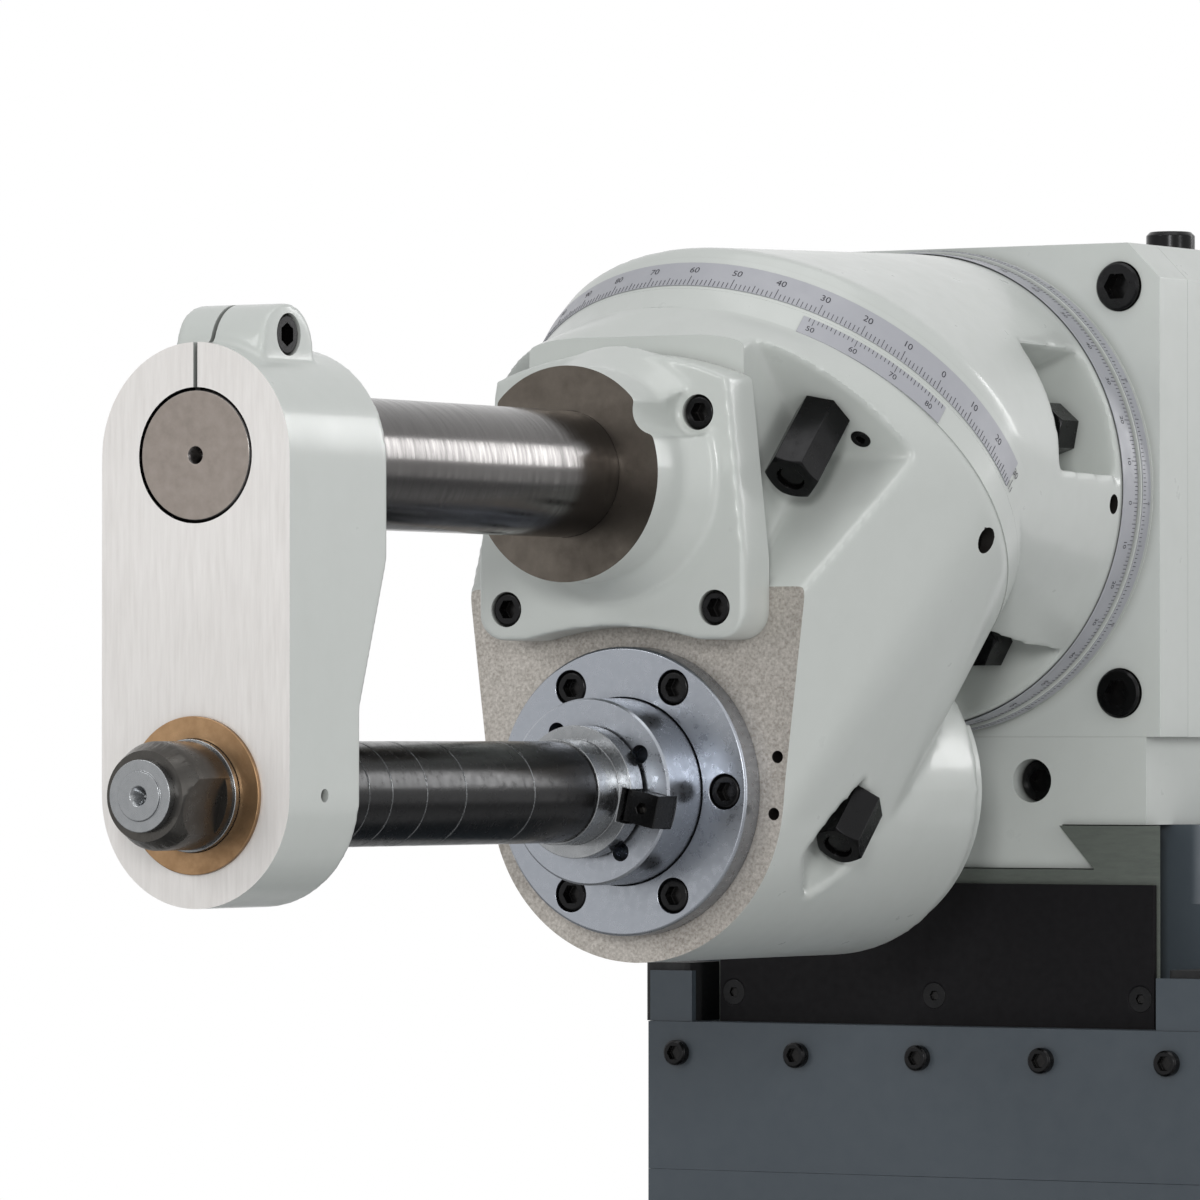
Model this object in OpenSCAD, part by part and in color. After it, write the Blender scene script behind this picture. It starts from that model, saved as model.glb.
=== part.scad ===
// Universal knee-type milling machine with a twice-swivelling head, over-arm and horizontal arbor.
// The floor is z = 0, the front of the machine is -Y, and X = 0 is the mid-plane.

/* [Overall layout] */
// Height of the ram and over-arm axis above the floor
ram_axis_z = 1650; // [1500:1:1800]
// Distance from the ram axis down to the spindle axis
spindle_drop = 150; // [140:1:160]
// Position of the slanted joint's centre along the machine
joint_y = -440; // [-480:1:-420]
// Tilt of the slanted joint from the upright
joint_tilt = 45; // [45:1:45]

/* [Head] */
// Radius of the slanted joint
joint_r = 130; // [124:1:136]
// Distance from the joint's centre forward to the ground front face
face_out = 125; // [120:1:130]
// Radius of the spindle housing
housing_r = 82; // [78:1:86]
// Distance from the joint's centre back to the end of the housing
housing_back = 66; // [60:1:68]
// Radius of the rear cap
cap_r = 77; // [72:1:80]
// Thickness of the rear cap
cap_t = 14; // [10:1:16]
// Half-width of the ground front face
face_half = 95; // [90:1:100]

/* [Spindle] */
// Diameter of the spindle nose
nose_d = 88.88; // [88.88:0.01:88.88]
// How far the nose stands out of the ring flange
nose_out = 30; // [26:1:34]
// Outer diameter of the ring flange round the nose
ring_d = 138; // [134:1:142]
// Thickness of the ring flange
ring_t = 13; // [10:1:15]
// Large diameter of the taper in the nose
taper_d = 44.45; // [44.45:0.01:44.45]
// Bore of the spindle housing
housing_bore = 104; // [100:1:106]
// Diameter of the spindle behind its front bearing
spindle_d = 66; // [62:1:70]
// Radial running clearance of shafts in bearings
run_fit = 0.05; // [0.02:0.01:0.10]

/* [Arbor] */
// Diameter of the arbor's spacing collars
spacer_d = 48; // [44:1:50]
// Diameter of the arbor's shaft
arbor_d = 32; // [27:1:32]
// Outer diameter of the arbor's bearing sleeve
sleeve_d = 50; // [49:1:54]
// Diameter of the arbor's flange
arbor_flange_d = 63; // [60:1:63]
// Length of the arbor's end nut
nut_len = 34; // [28:1:40]

/* [Over-arm] */
// Diameter of the over-arm bar
bar_d = 60; // [56:1:64]
// Distance from the ground face to the support's front face
support_out = 373; // [340:1:400]
// Width of the arbor support
support_w = 100; // [94:1:106]
// Thickness of the support round the bar
support_t = 79; // [70:1:84]
// Thickness of the support round the arbor
support_low_t = 57; // [50:1:64]
// Outer diameter of the support's bronze bush
bush_d = 70; // [66:1:74]
// Length of the bracket's boss from the ground face
boss_out = 64; // [58:1:70]
// Thickness of the bracket's plate
bracket_t = 24; // [20:1:26]
// Width of the bracket's plate
bracket_w = 148; // [144:1:154]

/* [Ram] */
// Width of the ram
ram_w = 252; // [244:1:260]
// Height of the ram's upper part
ram_h = 248; // [240:1:256]
// Distance from the joint's centre back to the ram's front plate
plate_back = 172; // [168:1:176]
// Radius of the ring on which the intermediate housing turns
ring_seat_r = 122; // [118:1:126]
// Length of the ram
ram_len = 698; // [640:1:740]
// Depth of the dovetail under the ram
dovetail_h = 22; // [20:1:24]
// Half-width of the dovetail's neck
dovetail_neck = 70; // [66:1:74]
// Half-width of the dovetail's foot
dovetail_foot = 90; // [86:1:94]

/* [Column and base] */
// Width of the column
column_w = 340; // [320:1:360]
// Depth of the column, front to back
column_d = 490; // [460:1:520]
// Height of the base casting
base_h = 110; // [90:1:130]
// Width of the base casting
base_w = 660; // [600:1:700]
// Length of the base casting, front to back
base_l = 1150; // [1100:1:1200]
// Half-width of the upright ways at their front
ways_half = 128; // [124:1:132]

/* [Knee and table] */
// Width of the knee's slide
slide_w = 320; // [312:1:328]
// Height of the knee slide's top above the floor
slide_top = 1380; // [1370:1:1385]
// Length of the table
table_l = 1000; // [900:10:1100]
// Width of the table
table_w = 280; // [260:1:300]
// Height of the table's top above the floor
table_top = 1000; // [990:1:1020]
// Thickness of the table
table_t = 70; // [64:1:76]
// Width of the T-slots at the table's top
slot_w = 14; // [14:1:14]
// Distance between the T-slots
slot_pitch = 63; // [63:1:63]
// Diameter of the table's and the knee's screws
screw_d = 24; // [20:1:28]

/* [Hidden] */
$fn = 64;
spindle_z = ram_axis_z - spindle_drop;
face_y = joint_y - face_out;
ring_y = face_y - ring_t;
nose_y = ring_y - nose_out;
plate_y = joint_y + plate_back;
ring_seat_t = 12;
seam_y = plate_y - ring_seat_t;
plate_t = 30;
ram_y = plate_y + plate_t;
ram_back = plate_y + ram_len;
ram_low = 168;
way_top = ram_axis_z - ram_low;
dovetail_z = ram_axis_z - ram_low - dovetail_h;
support_y = face_y - support_out;
cap_y = joint_y + housing_back;
apex_y = joint_y - spindle_drop;
column_front = -240;
column_back = column_front + column_d;
ways_t = 32;
ways_root = 110;
ways_low = 330;
ways_high = way_top - 30;
cover_t = 3;
cover_y = column_front - ways_t - cover_t;
slide_y = cover_y - 15;
slide_low = 880;
strip_h = 76;
strip_t = 6;
strip_pitch = 71;
table_y = -620;
guide_z = table_top - table_t;
guide_h = 25;
screw_z = guide_z + 10;
elevate_y = -520;
nut_top = 390;
panel_xs = [-118, 0, 118];
panel_zs = [ways_low + 30, ram_axis_z - 255];
ways_screw_xs = [30 - ways_root, ways_root - 30];
ways_screw_zs = [ways_low + 60:240:ways_high];
hinge_x = -142;
hinge_zs = [340, 740];
control_y = -120;
control_z = 1080;
plate_xs = [-103, 103];
plate_zs = [-102, 102];
lever_y = ram_back + 55;
feed_y = -60;
feed_z = dovetail_z - 23;
joint_bolt_r = 110;
joint_slot_t = 20;
head_flange_t = 36;
slant_far = spindle_drop / cos(45);
seat_bolt_r = 89;
foot_bolt_x = 53;
foot_bolt_drop = 146;
seat_bolt_angles = [19, -59, 161, 239];
seat_floor = 20;
clamp_upper = [45, 135];
clamp_lower = [225, 315];
low_seat = 142;
bracket_bolts = [[-58, -63], [58, -63], [-49, 29.5], [49, 29.5]];
small_holes = [[76.5, -160.5], [78.5, -133.5]];
ring_screw_r = 57;
cap_screw_r = 66;
plug_r = 5;
rim_plug_r = 6.3;
clamp_off = joint_bolt_r * sin(45);
gear_room = 66;
rim_t = 16;
cap_screw_angles = [-10, 190, 235, 270, 305];
cap_flat = 32;
crank_z = 836;
ram_slope = (dovetail_foot - dovetail_neck) / dovetail_h;
ways_slope = (ways_half - ways_root) / ways_t;
side_gap = 0.15;
gib_t = 8.4;
seat_gap = 0.02;
m16_head = 24;
m16 = 16;
m12_head = 18;
m14 = 14;
m14_head = 21;
m12 = 12;
m10_head = 16;
m10 = 10;
m8_head = 13;
m8 = 8;
gap = 0.1;
spin_rest = -13;
dark = [0.10, 0.10, 0.11];
steel = [0.66, 0.68, 0.69];
paint = [0.80, 0.82, 0.79];
slate = [0.29, 0.33, 0.36];

// Places a shape with its +Z pointing to the machine's front.
module front(x, y, z) {
  translate([x, y, z]) rotate([90, 0, 0]) children();
}

// Places a shape with its +Z along the slanted joint's axis, down and forward.
module joint() {
  translate([0, joint_y, ram_axis_z]) rotate([180 - joint_tilt, 0, 0]) children();
}

// Flat rounded rectangle centred on the origin.
module round_rect(w, h, r) {
  union() {
    square([w - 2 * r, h], center = true);
    square([w, h - 2 * r], center = true);
    for (x = [-1, 1], y = [-1, 1]) {
      translate([x * (w / 2 - r), y * (h / 2 - r)]) circle(r = r);
    }
  }
}

// Socket-head screw, its head's top at z = 0 and its shank towards -Z.
module socket_screw(d, head_d, head_h, length) {
  difference() {
    union() {
      translate([0, 0, -head_h]) cylinder(d = head_d, h = head_h - 1);
      translate([0, 0, -1]) cylinder(d1 = head_d, d2 = head_d - 2, h = 1);
      translate([0, 0, -head_h - length]) cylinder(d = d, h = length + 1);
    }
    translate([0, 0, -head_h * 0.6]) cylinder(d = head_d * 0.6, h = head_h, $fn = 6);
  }
}

// Space that a socket-head screw takes in the piece that it clamps.
module screw_space(d, head_d, head_h, length) {
  translate([0, 0, -head_h]) cylinder(d = head_d + 1, h = head_h + 50);
  translate([0, 0, -head_h - length - 1]) cylinder(d = d + 2 * gap, h = length + 2);
}

// Flat ring between two radii.
module tube(ro, ri, h) {
  difference() {
    cylinder(r = ro, h = h);
    translate([0, 0, -1]) cylinder(r = ri, h = h + 2);
  }
}

// Hexagonal nut on a stud, standing on z = 0, with a round tee-head below. The nut's top
// corners are turned off at 30 degrees.
module tee_stud(af, nut_h, stud_r, below, head_r, head_t) {
  turned_r = 0.48 * af;
  difference() {
    intersection() {
      cylinder(d = af / cos(30), h = nut_h, $fn = 6);
      cylinder(r1 = turned_r + nut_h / tan(30), r2 = turned_r, h = nut_h);
    }
    translate([0, 0, nut_h - 6]) cylinder(r = stud_r + 1, h = 7);
  }
  translate([0, 0, -below]) cylinder(r = stud_r, h = below + nut_h - 2);
  translate([0, 0, -below]) cylinder(r = head_r, h = head_t);
}

// Conical gear body round z, its apex at z = 0, between two distances, with plain teeth.
module bevel(half_angle, near, far, teeth, trim) {
  slope = tan(half_angle);
  difference() {
    translate([0, 0, near]) {
      cylinder(r1 = near * slope - trim, r2 = far * slope - trim, h = far - near);
    }
    for (k = [0:teeth - 1]) {
      rotate([0, 0, k * 360 / teeth]) translate([0, far * slope - trim, far]) {
        rotate([half_angle, 0, 0]) cube([3.4, 7, 60], center = true);
      }
    }
  }
}

// Gear at the slanted joint: its toothed cone and the disc behind it.
module joint_gear() {
  bevel(67.5, 12.6, 22.8, 24, 1);
  translate([0, 0, 22.8]) cylinder(r = 52, h = 14);
}

// One of the two gears that turn the spindle.
module spindle_gear() {
  bevel(22.5, 88, 112, 24, 1);
}

// One of the two gears between the knee's crank and its screw.
module knee_gear() {
  bevel(45, 20, 36, 20, 1);
}

// Cross-section of a dovetail, its foot at z = 0 and its neck at z = h.
module dovetail_shape(foot, neck, h) {
  polygon([[-foot, 0], [foot, 0], [neck, h], [-neck, h]]);
}

module base_casting() {
  color(slate) difference() {
    translate([0, column_back + 80 - base_l / 2, 0]) union() {
      linear_extrude(base_h - 30) round_rect(base_w, base_l, 45);
      linear_extrude(base_h) round_rect(base_w - 40, base_l - 40, 35);
    }
    translate([0, -545, base_h - 28]) linear_extrude(40) round_rect(500, 500, 25);
    for (x = [-1, 1], y = [column_back + 45, column_back + 115 - base_l]) {
      translate([x * (base_w / 2 - 55), y, -1]) cylinder(d = 18, h = base_h + 2);
      translate([x * (base_w / 2 - 55), y, base_h - 20]) cylinder(d = 44, h = 30);
    }
    translate([0, elevate_y, 12]) cylinder(d = 60, h = base_h);
    for (x = [-80, 80]) {
      translate([x, elevate_y, 40]) cylinder(d = m16 + 2 * gap, h = base_h);
    }
  }
}

module column() {
  mid_y = (column_front + column_back) / 2;
  color(slate) difference() {
    union() {
      translate([0, mid_y, base_h]) linear_extrude(way_top - base_h - 40) {
        round_rect(column_w, column_d, 18);
      }
      translate([0, mid_y, way_top - 41]) linear_extrude(41) round_rect(280, column_d, 12);
      translate([0, mid_y, base_h]) linear_extrude(30) round_rect(column_w + 60, column_d + 60, 25);
    }
    translate([0, mid_y, base_h - 1]) linear_extrude(1100) {
      round_rect(column_w - 50, column_d - 60, 15);
    }
    ram_guide_space();
    // Pocket and bore for the ram's feed pinion.
    translate([-20, feed_y, feed_z]) rotate([0, 90, 0]) cylinder(r = 25, h = 40);
    translate([-20, feed_y - 25, feed_z]) cube([40, 50, 24]);
    translate([0, feed_y, feed_z]) rotate([0, 90, 0]) {
      cylinder(r = 12 + run_fit, h = column_w);
    }
    // Rear door opening, side louvres and the switch box's cable hole.
    translate([-115, column_back - 40, 330]) cube([230, 80, 470]);
    for (z = [0:7]) {
      translate([column_w / 2 - 30, 20, 300 + z * 30]) cube([60, 160, 8]);
    }
    for (x = ways_screw_xs, z = ways_screw_zs) {
      front(x, column_front + 30, z) cylinder(d = m10 + 2 * gap, h = 60);
    }
    for (x = [-150, 150], z = [380, 750]) {
      translate([x, column_back - 20, z]) cube([12, 60, 40], center = true);
    }
  }
}

// Guide for the ram, with room for its gib on the left side.
module ram_guide_space() {
  front(0, column_back + 1, dovetail_z - 0.5) linear_extrude(column_d + ways_t + 3) {
    polygon([[-dovetail_foot - 9, 0], [dovetail_foot + 0.6, 0],
      [dovetail_neck + 0.6, dovetail_h], [dovetail_neck + 0.6, dovetail_h + 3],
      [-dovetail_neck - 9, dovetail_h + 3], [-dovetail_neck - 9, dovetail_h]]);
  }
}

module vertical_ways() {
  color(steel) difference() {
    translate([0, 0, ways_low]) linear_extrude(way_top - 0.5 - ways_low) polygon([
      [-ways_root, column_front], [-ways_half, column_front - ways_t],
      [ways_half, column_front - ways_t], [ways_root, column_front]]);
    ram_guide_space();
    for (x = ways_screw_xs, z = ways_screw_zs) {
      front(x, column_front - ways_t, z) screw_space(m10, m10_head, 10, 26);
    }
    for (x = panel_xs, z = panel_zs) {
      front(x, column_front - ways_t + 10, z) cylinder(d = m8 + 2 * gap, h = 12);
    }
  }
}

module way_cover_panel() {
  color(dark) difference() {
    translate([-ways_half + 2, cover_y, ways_low]) {
      cube([2 * ways_half - 4, cover_t, ways_high - ways_low]);
    }
    for (x = panel_xs, z = panel_zs) {
      front(x, cover_y + cover_t + 1, z) cylinder(d = m8 + 2 * gap, h = 8);
      front(x, cover_y + cover_t, z) cylinder(d1 = m8 + 2 * gap, d2 = 14.2, h = cover_t + 0.1);
    }
  }
}

module panel_screws() {
  color(dark) for (x = panel_xs, z = panel_zs) {
    front(x, cover_y + cover_t, z) difference() {
      union() {
        translate([0, 0, -9]) cylinder(d = m8, h = 9.1);
        cylinder(d1 = m8, d2 = 13.4, h = cover_t - 0.3);
      }
      translate([0, 0, 1]) cylinder(d = 5, h = 4, $fn = 6);
    }
  }
}

module column_door() {
  color(paint) difference() {
    union() {
      translate([-138, column_back + 0.5, 310]) cube([273, 5.5, 510]);
      translate([-125, column_back + 5, 320]) cube([250, 4, 490]);
      for (z = hinge_zs) {
        translate([hinge_x, column_back + 6, z]) cylinder(r = 6, h = 40);
      }
    }
    for (z = hinge_zs) {
      translate([hinge_x, column_back + 6, z - 1]) cylinder(r = 3 + run_fit, h = 42);
    }
    for (z = hinge_zs) {
      translate([hinge_x - 7, column_back - 1, z - 13]) cube([14.5, 14, 13]);
    }
    for (z = [0:5]) {
      translate([-70, column_back - 1, 400 + z * 22]) cube([140, 14, 6]);
    }
  }
  color(dark) {
    for (z = [540, 620]) {
      translate([105, column_back + 8, z]) rotate([-90, 0, 0]) cylinder(d = 9, h = 24);
    }
    translate([105, column_back + 31, 535]) cylinder(d = 12, h = 90);
  }
}

module door_pins() {
  color(steel) for (z = hinge_zs) {
    translate([hinge_x, column_back + 6, z - 12]) cylinder(r = 3, h = 64);
    translate([hinge_x, column_back + 6, z - 12]) cylinder(r = 6, h = 12);
    translate([hinge_x - 6, column_back, z - 12]) cube([12, 6, 12]);
  }
}

module control_box() {
  color(paint) translate([-column_w / 2 - 72, control_y, control_z]) difference() {
    union() {
      cube([60, 220, 260]);
      translate([-4, 6, 6]) cube([4.1, 208, 248]);
      translate([60, 60, 80]) cube([12, 100, 100]);
    }
    translate([4, 4, 4]) cube([50, 212, 252]);
    translate([-5, 60, 70]) rotate([0, 90, 0]) cylinder(r = 8.1, h = 20);
    translate([-5, 150, 70]) rotate([0, 90, 0]) cylinder(r = 12.1, h = 20);
  }
}

module main_switch() {
  color([0.75, 0.10, 0.08]) translate([-column_w / 2 - 76, control_y + 60, control_z + 70]) {
    rotate([0, -90, 0]) {
      translate([0, 0, -12]) cylinder(r = 8, h = 13);
      translate([0, 0, 0.5]) cylinder(r = 24, h = 10);
      translate([-5, -22, 10]) cube([10, 44, 16]);
    }
  }
}

module stop_button() {
  color([0.80, 0.12, 0.10]) translate([-column_w / 2 - 76, control_y + 150, control_z + 70]) {
    rotate([0, -90, 0]) {
      translate([0, 0, -14]) cylinder(r = 12, h = 26);
      translate([0, 0, 11]) cylinder(r = 20, h = 8);
      translate([0, 0, 19]) cylinder(r1 = 20, r2 = 14, h = 6);
    }
  }
}

module elevating_nut() {
  color([0.45, 0.47, 0.48]) translate([0, elevate_y, 0]) difference() {
    union() {
      translate([0, 0, base_h - 28]) cylinder(d = 110, h = nut_top - base_h + 28);
      translate([0, 0, base_h - 28]) linear_extrude(22) round_rect(210, 120, 20);
    }
    translate([0, 0, base_h - 30]) cylinder(d = 60, h = nut_top - base_h - 50);
    translate([0, 0, base_h]) cylinder(r = 20 + run_fit, h = nut_top);
    for (x = [-80, 80]) {
      translate([x, 0, base_h - 6]) screw_space(m16, m16_head, 0.5, 24);
    }
  }
  color(dark) for (x = [-80, 80]) {
    translate([x, elevate_y, base_h - 6 + 16]) socket_screw(m16, m16_head, 15.5, 52);
  }
}

module ram_section(w, h) {
  chamfer = 18;
  polygon([[-w / 2, -h / 2], [w / 2, -h / 2], [w / 2, h / 2 - chamfer],
    [w / 2 - chamfer, h / 2], [-w / 2 + chamfer, h / 2], [-w / 2, h / 2 - chamfer]]);
}

module ram_body() {
  color(paint) difference() {
    union() {
      front(0, ram_back, ram_axis_z) linear_extrude(ram_back - ram_y) ram_section(ram_w, ram_h);
      translate([-118, plate_y, ram_axis_z - ram_low]) {
        cube([236, ram_back - plate_y, ram_low - ram_h / 2]);
      }
      front(0, ram_back, dovetail_z) linear_extrude(ram_back - plate_y) {
        dovetail_shape(dovetail_foot, dovetail_neck, dovetail_h);
      }
    }
    front(0, ram_back + 1, ram_axis_z) cylinder(r = 60, h = ram_len);
    translate([-14, plate_y + 60, dovetail_z - 1]) cube([28, ram_len - 80, 6]);
    for (k = [0:73]) {
      translate([-14, plate_y + 62 + k * 8, dovetail_z - 1]) cube([28, 4, 11]);
    }
    for (x = plate_xs, z = plate_zs) {
      front(x, ram_y + 30, ram_axis_z + z) cylinder(d = m16 + 2 * gap, h = 31);
    }
    for (x = [-foot_bolt_x, foot_bolt_x]) {
      front(x, plate_y + 8, ram_axis_z - foot_bolt_drop) screw_space(m14, m14_head, 14, 26);
    }
    translate([80, -169, ram_axis_z + ram_h / 2 - 12]) cylinder(r = 8.1, h = 20);
    translate([60, -169, ram_axis_z + 40]) cylinder(r = 6, h = 100);
  }
}

module ram_plate() {
  color(paint) difference() {
    union() {
      front(0, ram_y, ram_axis_z) linear_extrude(plate_t) ram_section(ram_w, ram_h);
      front(0, plate_y, ram_axis_z) cylinder(r = ring_seat_r, h = ring_seat_t);
    }
    front(0, ram_y + 1, ram_axis_z) cylinder(r = 50, h = plate_t + ring_seat_t + 2);
    front(0, plate_y, ram_axis_z) tube(seat_bolt_r + 7, seat_bolt_r - 7, ring_seat_t + 1);
    front(0, plate_y + 10, ram_axis_z) tube(seat_bolt_r + 12, seat_bolt_r - 12, 12);
    for (x = plate_xs, z = plate_zs) {
      front(x, plate_y - 3, ram_axis_z + z) screw_space(m16, m16_head, 16, 40);
    }
  }
}

module ram_plate_screws() {
  color(dark) for (x = plate_xs, z = plate_zs) {
    front(x, plate_y - 3, ram_axis_z + z) socket_screw(m16, m16_head, 16, 40);
  }
  color(dark) for (x = [-foot_bolt_x, foot_bolt_x]) {
    front(x, plate_y + 8, ram_axis_z - foot_bolt_drop) socket_screw(m14, m14_head, 14, 26);
  }
}

module ram_oil_cap() {
  color(dark) translate([80, -169, ram_axis_z + ram_h / 2]) {
    translate([0, 0, -10]) cylinder(r = 8, h = 11);
    cylinder(r = 12.5, h = 9);
    translate([0, 0, 9]) cylinder(r1 = 12.5, r2 = 10.5, h = 2);
  }
}

module ram_bearings() {
  color(steel) {
    front(0, ram_y, ram_axis_z) tube(50, 22 + run_fit, 22);
    front(0, ram_back - 10, ram_axis_z) tube(60, 22 + run_fit, 24);
  }
}

module ram_gearbox() {
  color(paint) difference() {
    front(0, ram_back + 110, ram_axis_z + 5) linear_extrude(110) round_rect(280, 270, 22);
    front(0, ram_back + 95, ram_axis_z) cylinder(r = 85, h = 96);
    translate([80, lever_y, ram_axis_z]) rotate([0, 90, 0]) {
      cylinder(r = 10 + run_fit, h = 80);
    }
  }
}

module ram_motor() {
  motor_r = 100;
  color(slate) front(0, ram_back + 390, ram_axis_z) difference() {
    union() {
      cylinder(r = motor_r - 8, h = 280);
      translate([0, 0, 262]) cylinder(r = motor_r + 12, h = 18);
      cylinder(r = motor_r, h = 46);
      for (k = [0:23]) {
        rotate([0, 0, k * 15]) translate([motor_r - 12, -1.5, 40]) cube([11, 3, 200]);
      }
      translate([-55, motor_r - 20, 90]) cube([110, 58, 120]);
    }
    for (k = [0:11]) {
      rotate([0, 0, k * 30]) translate([56, 0, -1]) cylinder(r = 9, h = 8);
    }
  }
}

module speed_lever() {
  color(steel) translate([140, lever_y, ram_axis_z]) rotate([0, 90, 0]) {
    translate([0, 0, -45]) cylinder(r = 10, h = 46);
    translate([0, 0, 0.5]) cylinder(r = 24, h = 16);
    translate([0, 0, 8]) rotate([0, -78, 0]) cylinder(r = 6, h = 96);
  }
  color(dark) translate([140, lever_y, ram_axis_z]) rotate([0, 90, 0]) {
    translate([0, 0, 8]) rotate([0, -78, 0]) translate([0, 0, 96]) sphere(r = 15);
  }
}

module drive_shaft() {
  color(steel) {
    translate([0, joint_y, ram_axis_z]) rotate([-90, 0, 0]) {
      joint_gear();
      translate([0, 0, 36]) cylinder(r = 30, h = 60);
      translate([0, 0, 90]) cylinder(r = 22, h = ram_back - joint_y - 50);
    }
    front(0, ram_back + 70, ram_axis_z) cylinder(r = 70, h = 30);
  }
}

module ram_feed_wheel() {
  wheel_z = column_w / 2 + 60;
  color(steel) translate([0, feed_y, feed_z]) rotate([0, 90, 0]) {
    difference() {
      translate([0, 0, -12]) cylinder(r = 22, h = 24);
      for (k = [0:16]) {
        rotate([0, 0, k * 360 / 17]) translate([22, 0, 0]) cube([9, 4, 60], center = true);
      }
    }
    cylinder(r = 12, h = wheel_z);
    translate([0, 0, wheel_z]) {
      rotate_extrude() translate([88, 0]) circle(r = 9);
      translate([0, 0, -24]) cylinder(r = 24, h = 30);
      for (k = [0:2]) {
        rotate([0, 0, k * 120]) translate([18, -6, -5]) cube([64, 12, 9]);
      }
      translate([88, 0, 0]) cylinder(r = 5, h = 24);
    }
  }
  color(dark) translate([wheel_z, feed_y, feed_z]) rotate([0, 90, 0]) {
    translate([88, 0, 24]) cylinder(r1 = 9, r2 = 13, h = 52);
    translate([88, 0, 76]) sphere(r = 13);
  }
}

module ram_scale() {
  color([0.72, 0.72, 0.80]) front(0, seam_y + 9, ram_axis_z) {
    tube(ring_seat_r + 0.5, ring_seat_r + 0.03, 8);
  }
}

module ram_gib() {
  low = 0.3;
  high = dovetail_h - 0.3;
  color(steel) front(0, column_back - 1, dovetail_z - 0.5) linear_extrude(column_d - 2) polygon([
    [-dovetail_foot - 9 + ram_slope * low, low],
    [-dovetail_foot - 9 + gib_t + ram_slope * low, low],
    [-dovetail_foot - 9 + gib_t + ram_slope * high, high],
    [-dovetail_foot - 9 + ram_slope * high, high]]);
}

module mid_housing() {
  color(paint) difference() {
    union() {
      hull() {
        joint() translate([0, 0, -30]) cylinder(r = joint_r, h = 30);
        front(0, joint_y + 142, ram_axis_z) cylinder(r = ring_seat_r - 2, h = 8);
      }
      front(0, seam_y, ram_axis_z) cylinder(r = ring_seat_r - 2, h = 24);
    }
    front(0, seam_y + 1, ram_axis_z) cylinder(r = 60, h = 190);
    joint() translate([0, 0, -60]) cylinder(r = gear_room, h = 61);
    joint() translate([0, 0, -10]) tube(joint_bolt_r + 7, joint_bolt_r - 7, 11);
    joint() translate([0, 0, -joint_slot_t]) tube(joint_bolt_r + 12, joint_bolt_r - 12, 11);
    for (a = seat_bolt_angles) {
      front(0, seam_y - seat_floor, ram_axis_z) rotate([0, 0, a]) {
        translate([69, -33, 0]) cube([80, 66, 70]);
        translate([seat_bolt_r, 0, -24]) cylinder(r = 6.5, h = 30);
      }
    }
    front(0, seam_y - 25, ram_axis_z) rotate([0, 90, -4]) {
      translate([0, 0, ring_seat_r - 22]) cylinder(r = 5, h = 28);
    }
  }
}

module mid_clamp_nuts() {
  color(dark) for (a = seat_bolt_angles) {
    front(0, seam_y - seat_floor, ram_axis_z) rotate([0, 0, a]) {
      translate([seat_bolt_r, 0, 0]) tee_stud(24, 18, 6, seat_floor + 20, 11, 9.7);
    }
  }
}

module mid_scales() {
  color([0.72, 0.72, 0.80]) {
    front(0, seam_y - 1, ram_axis_z) tube(ring_seat_r - 1.5, ring_seat_r - 1.97, 15);
    joint() difference() {
      translate([0, 0, -18]) tube(joint_r + 0.5, joint_r + 0.03, 16);
      translate([-200, -406, -30]) cube([400, 400, 60]);
    }
  }
}

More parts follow.
